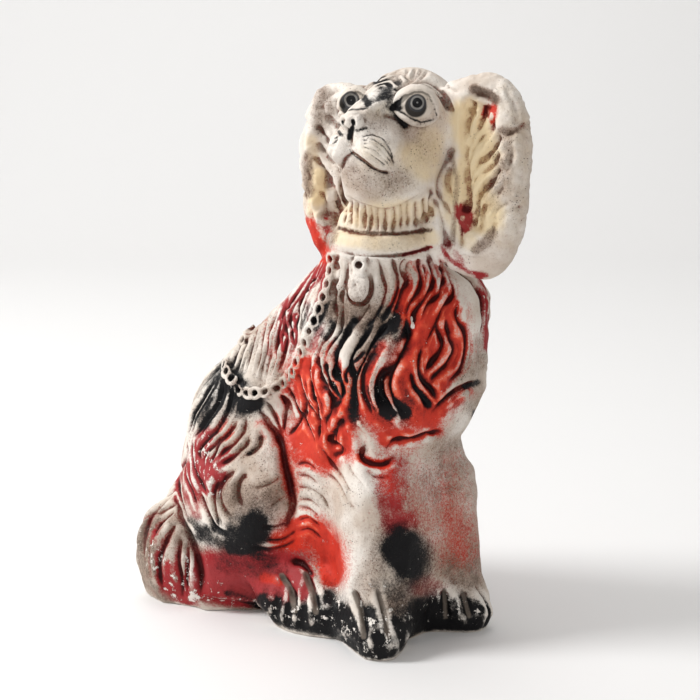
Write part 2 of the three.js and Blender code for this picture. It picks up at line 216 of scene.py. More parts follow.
@dataclass(frozen=True)
class PhotoCamera:
    """The photograph's viewpoint, in millimetres, degrees and pixels of a 700 pixel frame."""

    azimuth: float = 35.0
    elevation: float = 11.0
    distance: float = 1050.0
    target: Triple = (47.0, -30.0, 166.5)
    focal: float = 1912.4
    size: float = 700.0

    def axes(self) -> tuple[np.ndarray, np.ndarray, np.ndarray, np.ndarray]:
        """The camera's place in millimetres, and its forward, right and up directions."""
        azimuth, elevation = math.radians(self.azimuth), math.radians(self.elevation)
        back = np.array(
            [
                math.sin(azimuth) * math.cos(elevation),
                -math.cos(azimuth) * math.cos(elevation),
                math.sin(elevation),
            ]
        )
        right = np.cross(-back, [0.0, 0.0, 1.0])
        right /= np.linalg.norm(right)
        return np.array(self.target) + back * self.distance, -back, right, np.cross(right, -back)

    def project(self, points: np.ndarray) -> np.ndarray:
        """Pixels of the photograph where points in metres appear.

        Args:
            points: an array of places in metres.

        Returns:
            An array of across and down, in pixels.
        """
        place, forward, right, up = self.axes()
        offset = points / MM - place
        deep = offset @ forward
        middle = self.size / 2
        return np.stack(
            [middle + self.focal * (offset @ right) / deep, middle - self.focal * (offset @ up) / deep], -1
        )

    def ray(self, pixel: Point) -> tuple[Vector, Vector]:
        """The line of sight through a pixel.

        Args:
            pixel: across and down in the photograph.

        Returns:
            The line's start and its direction, in metres.
        """
        place, forward, right, up = self.axes()
        middle = self.size / 2
        along = forward * self.focal + right * (pixel[0] - middle) - up * (pixel[1] - middle)
        return Vector(place * MM), Vector(along).normalized()

    def hit(self, tree: BVHTree, sheet: Sheet, point: Point) -> tuple[Vector | None, Vector | None]:
        """What the line of sight through a place on a window meets.

        Args:
            tree: the skin's search tree.
            sheet: the window.
            point: across and down in the window.

        Returns:
            The place on the skin and the way it faces.
        """
        return tree.ray_cast(*self.ray(to_photo(sheet, point)))[:2]

    def faced(self, places: np.ndarray, facing: np.ndarray) -> np.ndarray:
        """How squarely the skin faces the camera.

        Args:
            places: places in metres.
            facing: the way the skin faces there.

        Returns:
            1 straight on, 0 edge on, less where it is turned away.
        """
        sight = self.axes()[0] * MM - places
        sight /= np.linalg.norm(sight, axis=1)[:, None]
        return (facing * sight).sum(1)

    def set_up(self) -> None:
        """Makes the scene's camera."""
        place, forward, right, up = self.axes()
        data = bpy.data.cameras.new("photo_camera")
        data.sensor_width = 36.0
        data.lens = self.focal * data.sensor_width / self.size
        camera = placed("photo_camera", data)
        turn = Matrix([right, up, -forward]).transposed().to_4x4()
        camera.matrix_world = Matrix.Translation(Vector(place * MM)) @ turn
        bpy.context.scene.camera = camera


CAMERA = PhotoCamera()


def placed(name: str, data: bpy.types.ID) -> bpy.types.Object:
    """Puts a new object into the scene.

    Args:
        name: the object's name.
        data: its mesh, lamp or camera.

    Returns:
        The object.
    """
    made = bpy.data.objects.new(name, data)
    bpy.context.scene.collection.objects.link(made)
    return made


def evaluated(stand: bpy.types.Object) -> bpy.types.Mesh:
    """The mesh that an object's modifiers give; the object itself is removed.

    Args:
        stand: the object.

    Returns:
        The new mesh.
    """
    bpy.context.view_layer.update()
    mesh = bpy.data.meshes.new_from_object(stand.evaluated_get(bpy.context.evaluated_depsgraph_get()))
    bpy.data.objects.remove(stand)
    return mesh


def store(mesh: bpy.types.Mesh, name: str, values: np.ndarray) -> None:
    """Stores a value of each vertex as an attribute."""
    layer = mesh.attributes.new(name, "FLOAT", "POINT")
    layer.data.foreach_set("value", values.astype(np.float32))


def to_photo(sheet: Sheet, point: Point) -> Point:
    """The photograph's pixel of a place read on a window.

    Args:
        sheet: the window.
        point: across and down in the window.

    Returns:
        Across and down in the photograph.
    """
    left, top, enlargement = sheet.value
    return left + point[0] / enlargement, top + point[1] / enlargement


def eased(value: np.ndarray, start: float, end: float) -> np.ndarray:
    """A soft step from 0 at start to 1 at end."""
    share = np.clip((value - start) / (end - start), 0.0, 1.0)
    return share * share * (3.0 - 2.0 * share)


def curve_through(points: Sequence[Point], step: float) -> np.ndarray:
    """A smooth curve through places on a window.

    Args:
        points: the places.
        step: the distance between the points that are returned.

    Returns:
        Points along the curve.
    """
    places = np.array(points, float)
    if len(places) < 2:
        return places
    ends = np.vstack([2 * places[0] - places[1], places, 2 * places[-1] - places[-2]])
    run = []
    for index in range(len(places) - 1):
        before, start, end, after = ends[index : index + 4]
        count = max(int(np.linalg.norm(end - start) / step), 1)
        share = (np.arange(count) / count)[:, None]
        run.append(
            0.5
            * (
                2 * start
                + (end - before) * share
                + (2 * before - 5 * start + 4 * end - after) * share**2
                + (3 * start - before - 3 * end + after) * share**3
            )
        )
    return np.vstack(run + [places[-1:]])


class Skin:
    """The cast's skin as arrays of vertices and edges, for work on all of it at once."""

    def __init__(self, mesh: bpy.types.Mesh) -> None:
        """Reads a mesh.

        Args:
            mesh: the mesh to work on.
        """
        self.mesh = mesh
        self.places = self.rows(mesh.vertices, "co")
        ends = np.zeros(len(mesh.edges) * 2, np.int32)
        mesh.edges.foreach_get("vertices", ends)
        self.edges = ends.reshape(-1, 2)
        self.degree = np.bincount(ends, minlength=len(self.places)).astype(float)

    @staticmethod
    def rows(items: bpy.types.bpy_prop_collection, name: str) -> np.ndarray:
        """Reads three numbers of each item.

        Args:
            items: the mesh's vertices or their outward directions.
            name: the numbers' name.

        Returns:
            One row for each item.
        """
        flat = np.zeros(len(items) * 3, np.float32)
        items.foreach_get(name, flat)
        return flat.reshape(-1, 3).astype(np.float64)

    def spread(self, values: np.ndarray) -> np.ndarray:
        """The mean of each vertex's neighbours.

        Args:
            values: one value or one row for each vertex.

        Returns:
            The neighbours' mean, in the same shape.
        """
        start, end = self.edges[:, 0], self.edges[:, 1]
        count = len(self.places)
        rows = values.reshape(count, -1)
        total = np.empty_like(rows)
        for column in range(rows.shape[1]):
            total[:, column] = np.bincount(start, rows[end, column], count) + np.bincount(
                end, rows[start, column], count
            )
        return (total / self.degree[:, None]).reshape(values.shape)

    def smooth(self, rounds: int, share: np.ndarray | float = 1.0, keep: float = 0.53) -> None:
        """Smooths the skin and keeps its fullness.

        Args:
            rounds: how many times.
            share: how much of it happens at each vertex.
            keep: how much is given back each round.
        """
        weight = share[:, None] if isinstance(share, np.ndarray) else share
        for _ in range(rounds):
            self.places += 0.5 * weight * (self.spread(self.places) - self.places)
            if keep > 0:
                self.places -= keep * weight * (self.spread(self.places) - self.places)

    def write(self) -> None:
        """Writes the places back to the mesh."""
        self.mesh.vertices.foreach_set("co", self.places.astype(np.float32).ravel())
        self.mesh.update()

    def facing(self) -> np.ndarray:
        """The skin's outward direction at each vertex."""
        self.write()
        return self.rows(self.mesh.vertex_normals, "vector")

    def tree(self) -> BVHTree:
        """A search tree of the skin's faces."""
        form = bmesh.new()
        self.write()
        form.from_mesh(self.mesh)
        tree = BVHTree.FromBMesh(form)
        form.free()
        return tree


@dataclass
class Carver:
    """Cuts grooves into a skin along curves that are seen in the photograph or given round the body."""

    skin: Skin
    step: float = 6.0
    strength: float = 1.6
    breadth: float = 1.6
    end_depth: float = 0.35
    longest: float = 14.0
    tree: BVHTree = field(init=False)
    facing: np.ndarray = field(init=False)
    cut: np.ndarray = field(init=False)
    rise: np.ndarray = field(init=False)

    def __post_init__(self) -> None:
        """Prepares the search tree and the empty depths."""
        self.tree = self.skin.tree()
        self.facing = self.skin.facing()
        self.cut = np.zeros(len(self.skin.places))
        self.rise = np.zeros(len(self.skin.places))

    def seen(self, groove: Groove) -> list[np.ndarray]:
        """The curve of a groove on the skin.

        Args:
            groove: the groove, read on a window of the photograph.

        Returns:
            Points on the skin in metres.
        """
        places = []
        for point in curve_through(groove.points, self.step):
            hit, _ = CAMERA.hit(self.tree, groove.sheet, point)
            if hit is not None:
                places.append(np.array(hit))
        return places

    def along(self, places: list[np.ndarray], width: float, depth: float) -> None:
        """Cuts along points on the skin.

        Args:
            places: the points in metres.
            width: half the width in millimetres.
            depth: the depth in millimetres, negative for a ridge.
        """
        if len(places) < 2:
            return
        line = np.array(places)
        reach = width * self.breadth * MM
        low, high = line.min(0) - reach, line.max(0) + reach
        near = np.nonzero(np.all((self.skin.places > low) & (self.skin.places < high), axis=1))[0]
        if not len(near):
            return
        spots = self.skin.places[near]
        best = np.full(len(near), 1e9)
        share = np.zeros(len(near))
        for index in range(len(line) - 1):
            start, step = line[index], line[index + 1] - line[index]
            length = float(step @ step)
            if length < 1e-14 or length > (self.longest * MM) ** 2:
                continue
            at = np.clip((spots - start) @ step / length, 0, 1)
            far = np.linalg.norm(spots - start - at[:, None] * step, axis=1)
            closer = far < best
            best[closer] = far[closer]
            share[closer] = (index + at[closer]) / (len(line) - 1)
        ends = np.minimum(eased(share, -0.02, 0.14), eased(1 - share, -0.02, 0.2))
        taper = self.end_depth + (1 - self.end_depth) * ends
        profile = np.clip(1 - best / reach, 0.0, 1.0) ** 2
        amount = abs(depth) * self.strength * MM * taper * profile
        target = self.cut if depth > 0 else self.rise
        target[near] = np.maximum(target[near], amount)

    def groove(self, groove: Groove) -> None:
        """Cuts one groove."""
        self.along(self.seen(groove), groove.width, groove.depth)

    def finish(self) -> None:
        """Moves the skin by the depths that were cut."""
        self.skin.places += self.facing * (self.rise - self.cut)[:, None]
        self.skin.places[:, 2] = np.maximum(self.skin.places[:, 2], 0.0)


def grooves(sheet: Sheet, width: float, depth: float, *curves: Sequence[Point]) -> list[Groove]:
    """Several grooves of one width and depth.

    Args:
        sheet: the window that the curves are read on.
        width: half the width in millimetres.
        depth: the depth in millimetres.
        curves: the places along each groove.

    Returns:
        The grooves.
    """
    return [Groove(sheet, tuple(curve), width, depth) for curve in curves]


class Coat:
    """The locks of the coat on the side that the photograph shows.

    Each row has a window, the grooves' half width and depth in millimetres, and the places along each.
    """

    locks: ClassVar[tuple] = (
        # Deep wavy locks of the chest.
        (
            Sheet.CHEST, 3.6, 3.0,
            ((790, 440), (720, 560), (700, 640), (715, 720), (740, 790), (730, 860)),
            ((900, 450), (830, 545), (785, 620), (795, 720), (792, 800), (800, 930)),
            ((1000, 420), (915, 520), (865, 610), (820, 690), (812, 780), (822, 930)),
            ((1060, 560), (1030, 640), (955, 710), (940, 770), (955, 840), (1010, 905)),
            ((1085, 420), (1090, 520), (1060, 600), (1000, 680), (985, 760), (1010, 830), (1070, 900)),
        ),
        (
            Sheet.CHEST, 2.6, 2.0,
            ((930, 110), (955, 190), (970, 260), (950, 340), (905, 410), (850, 470)),
            ((1000, 100), (1032, 170), (1038, 240), (1015, 310), (985, 370), (950, 430)),
            ((1075, 100), (1055, 150), (1085, 210), (1060, 270), (1040, 330), (1010, 400)),
            ((1140, 100), (1162, 200), (1140, 280), (1090, 340), (1075, 410)),
            ((1195, 90), (1225, 180), (1210, 260), (1155, 330), (1120, 395), (1125, 470)),
            ((1245, 90), (1278, 180), (1262, 260), (1200, 335), (1160, 420)),
            ((1305, 165), (1330, 260), (1290, 340), (1250, 400), (1215, 480), (1180, 560)),
            ((770, 90), (755, 200), (735, 300), (738, 400), (725, 480), (660, 570), (640, 650)),
            ((720, 80), (712, 200), (700, 300), (705, 400), (680, 480), (620, 560), (600, 650)),
            ((890, 330), (850, 390), (790, 440)), ((870, 560), (820, 620), (760, 690), (765, 780)),
            ((930, 560), (880, 640), (850, 720), (850, 800), (880, 880), (905, 935)),
        ),
        (
            Sheet.CHEST, 2.8, 2.4,
            ((1100, 690), (1125, 760), (1170, 815), (1205, 880)),
            ((1160, 560), (1150, 640), (1165, 720), (1210, 790), (1240, 850)),
            ((1350, 320), (1345, 400), (1390, 480), (1397, 580), (1370, 680), (1310, 740)),
            ((1290, 420), (1305, 500), (1335, 570), (1300, 650), (1225, 710), (1200, 760)),
            ((1225, 420), (1260, 500), (1265, 560), (1215, 640), (1180, 690)),
            ((1450, 740), (1395, 765), (1330, 800), (1275, 850), (1220, 895)),
            ((575, 640), (562, 710), (580, 790), (605, 860), (610, 935)),
            ((520, 720), (535, 820), (582, 900), (622, 990)), ((466, 790), (498, 880), (548, 955), (592, 1040)),
            ((610, 600), (622, 700), (660, 780), (690, 850), (660, 930)),
            ((650, 640), (660, 720), (700, 790), (730, 850)), ((520, 760), (540, 830), (545, 900), (530, 938)),
            ((1440, 240), (1475, 300), (1480, 380), (1475, 480)),
        ),
        (
            Sheet.FLANK, 2.6, 2.0,
            ((1085, 60), (1105, 170), (1060, 270), (1012, 335)), ((1130, 70), (1180, 150), (1192, 250), (1190, 370)),
            ((1210, 30), (1260, 100), (1310, 125)), ((1330, 40), (1325, 110), (1270, 190), (1232, 260), (1245, 310)),
            ((1345, 235), (1292, 315), (1290, 395)), ((960, 90), (1003, 150), (992, 230), (985, 330)),
            ((880, 140), (920, 210), (965, 300), (985, 350)),
        ),
        (
            Sheet.FEET, 3.0, 2.2,
            ((430, 95), (415, 150), (470, 190), (545, 195), (600, 160)),
            ((880, 12), (790, 32), (700, 62), (620, 60), (560, 110)), ((250, 10), (235, 60), (290, 110), (260, 150)),
        ),
        (
            Sheet.FEET, 1.6, 0.9,
            ((445, 235), (500, 270), (565, 278)), ((190, 120), (245, 190), (310, 290), (350, 420), (405, 490)),
            ((330, 180), (360, 250), (415, 310), (445, 345)),
        ),
        # Locks between the chain and the back.
        (
            Sheet.CHEST, 2.2, 1.7,
            ((640, 140), (560, 250), (520, 330), (505, 420), (495, 520), (455, 660)),
            ((590, 190), (525, 280), (475, 360), (468, 450), (478, 540), (440, 660)),
            ((530, 250), (470, 330), (435, 400), (448, 490), (440, 580), (400, 710)),
            ((450, 320), (425, 400), (405, 480), (398, 560), (380, 640), (352, 735)),
            ((400, 365), (375, 430), (350, 510), (345, 590), (325, 660), (315, 730)),
            ((350, 410), (325, 480), (315, 560), (300, 640), (285, 710)),
            ((300, 450), (275, 520), (255, 600), (240, 680)), ((250, 510), (225, 570), (200, 640), (185, 700)),
            ((205, 550), (180, 610), (160, 670)),
        ),
        # Locks of the rump and the haunch.
        (
            Sheet.FLANK, 2.6, 1.9,
            ((560, 20), (500, 110), (450, 190), (415, 280), (400, 370)),
            ((620, 20), (590, 130), (530, 220), (480, 290), (425, 350)),
            ((680, 60), (650, 170), (600, 270), (540, 330)),
            ((430, 360), (425, 440), (440, 540), (480, 620), (520, 690)),
            ((390, 480), (395, 590), (430, 680), (460, 760)), ((350, 560), (352, 680), (375, 780), (420, 880)),
        ),
        (
            Sheet.FLANK, 3.0, 2.2,
            ((600, 285), (520, 350), (470, 425), (482, 480)), ((625, 330), (555, 390), (505, 450), (500, 530)),
            ((700, 250), (650, 315), (590, 375), (560, 440), (525, 510)),
            ((755, 230), (740, 305), (690, 370), (620, 425), (590, 475)),
            ((772, 330), (758, 385), (708, 432), (650, 480), (600, 505)),
            ((850, 320), (842, 380), (795, 430), (740, 455)), ((760, 560), (715, 620), (708, 700), (735, 765)),
            ((690, 540), (625, 600), (592, 680), (618, 780), (670, 830)),
            ((600, 600), (562, 680), (560, 780), (590, 895)), ((480, 690), (512, 780), (568, 890), (640, 930)),
        ),
        (
            Sheet.FLANK, 1.8, 1.1,
            ((980, 572), (930, 612), (862, 642), (790, 652)), ((1040, 672), (970, 725), (895, 775)),
            ((860, 892), (960, 882), (1042, 838)), ((880, 972), (980, 962), (1062, 905)),
            ((800, 1012), (900, 1022), (990, 1002), (1060, 960)),
        ),
        (
            Sheet.FLANK, 4.2, 3.0,
            ((840, 190), (900, 265), (960, 352), (985, 432), (1002, 530), (1025, 640), (1032, 760), (1000, 880)),
        ),
    )
    shallow: ClassVar[tuple] = (
        # Shallow waves of the belly.
        (
            Sheet.FLANK, 1.7, 1.1,
            ((1060, 510), (1120, 500), (1185, 545)), ((1060, 572), (1130, 582), (1195, 635)),
            ((1050, 650), (1130, 652), (1212, 702), (1255, 775)), ((1060, 730), (1130, 722), (1205, 775)),
            ((1060, 768), (1130, 775), (1205, 835)), ((1070, 850), (1130, 832), (1205, 885)),
            ((1070, 912), (1140, 902), (1225, 965)), ((1250, 560), (1310, 622), (1362, 722), (1420, 805)),
            ((1200, 400), (1262, 482), (1332, 590), (1402, 705)),
        ),
        # The fan of the tail.
        (
            Sheet.FLANK, 3.4, 2.2,
            ((300, 700), (205, 785), (155, 885), (132, 1000), (145, 1110)),
            ((330, 765), (252, 855), (190, 965), (162, 1065), (175, 1175)),
            ((338, 850), (282, 955), (232, 1075), (232, 1180), (255, 1265)),
            ((365, 945), (345, 1080), (360, 1190), (372, 1300)), ((400, 960), (402, 1080), (390, 1200), (400, 1290)),
        ),
        (
            Sheet.FLANK, 5.0, 3.4,
            ((320, 720), (352, 830), (400, 930), (450, 1050), (478, 1180), (482, 1290)),
        ),
        # The grooves between the toes.
        (
            Sheet.FEET, 3.6, 2.6,
            ((365, 925), (400, 1000), (430, 1100), (425, 1225)), ((505, 925), (535, 1020), (562, 1120), (572, 1215)),
            ((895, 930), (900, 1010), (903, 1095)), ((1000, 940), (1030, 1010), (1042, 1085)),
        ),
        (
            Sheet.FLANK, 3.0, 2.4,
            ((960, 1165), (1010, 1225), (1045, 1300), (1060, 1400)),
            ((1110, 1140), (1150, 1230), (1175, 1310), (1185, 1400)), ((1030, 1090), (1100, 1110), (1160, 1180)),
        ),
    )

    @staticmethod
    def strands(locks: list[Groove], shift: Point = (24, 5)) -> list[Groove]:
        """Finer lines beside the locks.

        Args:
            locks: the locks' own grooves.
            shift: how far the lines are from them, on the window.

        Returns:
            The finer grooves.
        """
        return [
            Groove(lock.sheet, tuple((x + shift[0], y + shift[1]) for x, y in lock.points), 1.7, 1.0)
            for lock in locks
            if lock.width >= 2.2
        ]

    @classmethod
    def all(cls) -> list[Groove]:
        """Every groove of the coat."""
        locks, shallow = ([groove for row in rows for groove in grooves(*row)] for rows in (cls.locks, cls.shallow))
        return locks + cls.strands(locks) + shallow


def inside(spots: np.ndarray, outline: Sequence[Point]) -> np.ndarray:
    """Whether places on a window lie inside an outline.

    Args:
        spots: the places.
        outline: the outline's points, joined up.

    Returns:
        True for each place inside.
    """
    within = np.zeros(len(spots), bool)
    ends = list(outline)
    for start, end in zip(ends, ends[1:] + ends[:1]):
        if start[1] == end[1]:
            continue
        crosses = (start[1] > spots[:, 1]) != (end[1] > spots[:, 1])
        across = start[0] + (spots[:, 1] - start[1]) * (end[0] - start[0]) / (end[1] - start[1])
        within ^= crosses & (spots[:, 0] < across)
    return within


@dataclass
class HeadRelief:
    """Shapes the head as the photograph shows its left half, and mirrors that to the right half."""

    skin: Skin
    facing: np.ndarray
    middle: float = HEAD_MIDDLE
    lowest: float = 222.0
    face_half: float = 36.0
    pixel: float = 0.56
    cut: np.ndarray = field(init=False)
    near: np.ndarray = field(init=False)
    spots: np.ndarray = field(init=False)
    shown: np.ndarray = field(init=False)
    side: np.ndarray = field(init=False)
    left: np.ndarray = field(init=False)
    straight: np.ndarray = field(init=False)
    open: np.ndarray = field(init=False)

    def __post_init__(self) -> None:
        """Finds where each vertex of the head, or its twin on the left half, is in the photograph."""
        self.cut = np.zeros(len(self.skin.places))
        self.near = np.nonzero(self.skin.places[:, 2] > self.lowest * MM)[0]
        twin = self.skin.places[self.near].copy()
        facing = self.facing[self.near].copy()
        left, top, enlargement = Sheet.HEAD.value
        self.left = twin[:, 0] > self.middle * MM
        self.straight = (CAMERA.project(twin) - [left, top]) * enlargement
        self.open = self.seen(twin, facing)
        flip = ~self.left
        twin[flip, 0] = 2 * self.middle * MM - twin[flip, 0]
        facing[flip, 0] *= -1
        self.shown = self.seen(twin, facing)
        self.spots = (CAMERA.project(twin) - [left, top]) * enlargement
        self.side = twin[:, 0] / MM - self.middle

    @staticmethod
    def seen(places: np.ndarray, facing: np.ndarray) -> np.ndarray:
        """How much each place faces the camera.

        Args:
            places: places in metres.
            facing: the way the skin faces there.

        Returns:
            Values from 0 to 1.
        """
        return eased(CAMERA.faced(places, facing), 0.02, 0.3)

    def masks(self) -> tuple[np.ndarray, np.ndarray]:
        """The face's and the ears' shares of each vertex."""
        face = 1 - eased(self.side, self.face_half - 2, self.face_half + 3)
        return face, 1 - face

    def millimetres(self, line: Sequence[Point]) -> np.ndarray:
        """How far each vertex is from a line on the window, in millimetres."""
        return line_distance(self.spots, np.array(line, float)) / Sheet.HEAD.value[2] * self.pixel

    def press(self, depth: np.ndarray, marked: float = 1.0) -> None:
        """Pushes the head's skin in, or out where the depth is negative.

        Args:
            depth: millimetres for each vertex of the head.
            marked: how much of it counts as a groove, which the finish paints darker as painted shade and grime.
        """
        self.skin.places[self.near] -= self.facing[self.near] * (depth * MM)[:, None]
        self.cut[self.near] += depth * marked

    def stroke(self, line: Sequence[Point], width: float, depth: float, mask: np.ndarray) -> np.ndarray:
        """The depth of one groove.

        Args:
            line: places on the window.
            width: half the width in millimetres.
            depth: the depth in millimetres.
            mask: where it may be.

        Returns:
            Millimetres for each vertex of the head.
        """
        smooth_line = curve_through(line, 5.0)
        return depth * np.clip(1 - self.millimetres(smooth_line) / width, 0, 1) ** 1.5 * mask * self.shown

    def strokes(self, lines: Sequence[tuple], mask: np.ndarray) -> np.ndarray:
        """The depth of several grooves.

        Args:
            lines: the places, half width and depth of each.
            mask: where they may be.

        Returns:
            Millimetres for each vertex of the head.
        """
        return np.max([self.stroke(*line, mask) for line in lines], axis=0, initial=0.0)

    def bump(self, at: Point, half: Point, turn: float, height: float, mask: np.ndarray) -> np.ndarray:
        """The depth of a soft swelling, negative because it rises.

        Args:
            at: its middle on the window.
            half: its half length and half width on the window.
            turn: the length's direction in degrees, clockwise.
            height: how far it rises, in millimetres.
            mask: where it may be.

        Returns:
            Millimetres for each vertex of the head.
        """
        angle = math.radians(turn)
        offset = self.spots - np.array(at)
        along = offset @ [math.cos(angle), math.sin(angle)] / half[0]
        across = offset @ [-math.sin(angle), math.cos(angle)] / half[1]
        return -height * (1 - eased(np.hypot(along, across), 0.35, 1.1)) * mask * self.shown


@dataclass
class Face:
    """The face: eyelids round the eyeballs, brows, nose, lips, whiskers and the tufts on the crown."""

    fronts: tuple[Triple, ...] = ((92.3, -33.6, 303.3), (51.2, -35.2, 303.2))
    looks: tuple[Triple, ...] = ((0.563, -0.804, 0.19), (0.16, -0.95, 0.26))
    ball: float = 12.0
    lid: float = 1.7
    irises: tuple[Point, ...] = ((712, 288), (352, 268))
    openings: tuple[tuple[Point, ...], ...] = (
        (
            (578, 300), (605, 270), (645, 236), (690, 213), (735, 212), (772, 232), (802, 280), (822, 345),
            (790, 364), (735, 372), (690, 358), (650, 330), (615, 312),
        ),
        (
            (288, 328), (308, 268), (338, 224), (375, 210), (408, 226), (438, 268), (452, 300), (420, 300),
            (385, 306), (335, 302), (305, 312),
        ),
    )
    lips: tuple[tuple[Point, ...], ...] = (
        ((338, 470), (335, 500), (332, 530)),
        ((332, 530), (352, 556), (385, 582), (420, 606), (462, 636), (505, 655), (545, 662)),
    )
    whiskers: tuple[tuple[Point, ...], ...] = (
        ((410, 458), (460, 445), (520, 468), (555, 520), (575, 570)),
        ((412, 478), (470, 475), (530, 518), (568, 575), (580, 605)), ((415, 498), (470, 502), (522, 542), (558, 592)),
        ((420, 518), (470, 532), (512, 566), (545, 606)), ((440, 548), (490, 582), (530, 615)),
    )
    brows: tuple[tuple[Point, ...], ...] = (
        ((600, 222), (650, 172), (705, 146), (770, 143), (828, 178), (872, 235), (905, 310)),
        ((640, 200), (690, 170), (750, 164), (808, 190), (855, 248), (885, 300)), ((600, 190), (640, 158), (700, 128)),
    )
    crown: tuple[tuple[Point, ...], ...] = (
        ((500, 112), (478, 150), (490, 190)), ((525, 105), (530, 140), (560, 165)), ((560, 90), (580, 130), (605, 155)),
        ((620, 80), (600, 118), (625, 155)), ((662, 75), (648, 110), (675, 132)), ((702, 75), (690, 110), (655, 150)),
        ((740, 75), (720, 105), (695, 128)), ((772, 78), (750, 110), (725, 130)), ((580, 100), (610, 90), (640, 100)),
    )
    # Other lines, each with its half width and depth in millimetres.
    creases: tuple[tuple, ...] = (
        (((545, 335), (600, 356), (650, 398)), 5.0, 1.6), (((560, 300), (600, 285), (640, 262)), 3.0, 1.4),
        (((350, 366), (355, 380)), 2.6, 3.0), (((398, 336), (424, 360), (420, 395), (395, 412)), 1.5, 1.2),
        (((350, 402), (345, 430), (338, 470)), 2.2, 2.2), (((385, 418), (410, 412), (437, 408)), 1.6, 1.2),
        (((300, 352), (340, 335), (385, 330)), 1.4, 0.7), (((352, 520), (360, 508)), 1.4, 1.2),
        (((620, 236), (655, 205), (705, 188), (755, 195), (800, 238), (832, 300), (846, 350)), 1.7, 1.2),
        (((880, 182), (920, 202), (985, 188)), 2.0, 1.8), (((900, 250), (925, 285), (935, 330)), 2.0, 1.0),
    )
    # Swellings: middle, half sizes, direction and height.
    swellings: tuple[tuple, ...] = (
        ((468, 545), (125, 72), 38, 1.7), ((470, 300), (110, 34), 150, 1.4), ((352, 375), (62, 46), 10, 0.8),
        ((470, 690), (190, 80), 20, 0.7),
    )

    def lids(self, relief: HeadRelief) -> None:
        """Wraps the lids round each eyeball and bares the ball in the opening.

        Args:
            relief: the head.
        """
        skin = relief.skin
        for index, opening in enumerate(self.openings):
            spots = relief.straight
            scale = relief.pixel / Sheet.HEAD.value[2]
            edge = line_distance(spots, np.array([*opening, opening[0]], float)) * scale
            within = inside(spots, opening)
            centre = (np.array(self.fronts[index]) - np.array(self.looks[index]) * self.ball) * MM
            away = skin.places[relief.near] - centre
            far = np.linalg.norm(away, axis=1)
            close = (far < (self.ball + 6) * MM) & (relief.open > 0) & (relief.side < 34)
            close &= (relief.left if index == 0 else ~relief.left) & (away[:, 1] < 6 * MM)
            lid = (self.ball + self.lid) * MM
            upper = spots[:, 1] < 300
            raised = (1 - eased(edge, np.where(upper, 1.4, 0.8), np.where(upper, 5.0, 3.6))) * np.maximum(0, lid - far)
            bare = eased(edge, 0.0, 0.7)
            shift = np.where(within, bare * (self.ball * MM - far) + (1 - bare) * np.maximum(0, lid - far), raised)
            skin.places[relief.near] += away / far[:, None] * (shift * close * np.minimum(relief.open * 2, 1))[:, None]
            relief.cut[relief.near] += np.where(within, 0.0, 1.2 * (1 - eased(edge, 0.0, 0.8))) * close
            iris = line_distance(spots, np.array([self.irises[index]] * 2, float)) * scale
            rings = 0.5 * (1 - eased(np.abs(iris - 4.1), 0.0, 0.7)) + 0.6 * (1 - eased(iris, 1.4, 2.2))
            skin.places[relief.near] -= relief.facing[relief.near] * (rings * within * close * MM)[:, None]

    def shape(self, relief: HeadRelief) -> None:
        """Shapes the muzzle and cuts the lines of the face.

        Args:
            relief: the head.
        """
        face, _ = relief.masks()
        relief.press(sum(relief.bump(*swelling, face) for swelling in self.swellings))
        groups = ((self.lips, 2.4, 2.4), (self.whiskers, 1.7, 1.3), (self.brows, 2.2, 2.2), (self.crown, 2.4, 2.0))
        lines = [(line, width, depth) for rows, width, depth in groups for line in rows]
        relief.press(relief.strokes(lines + list(self.creases), face))


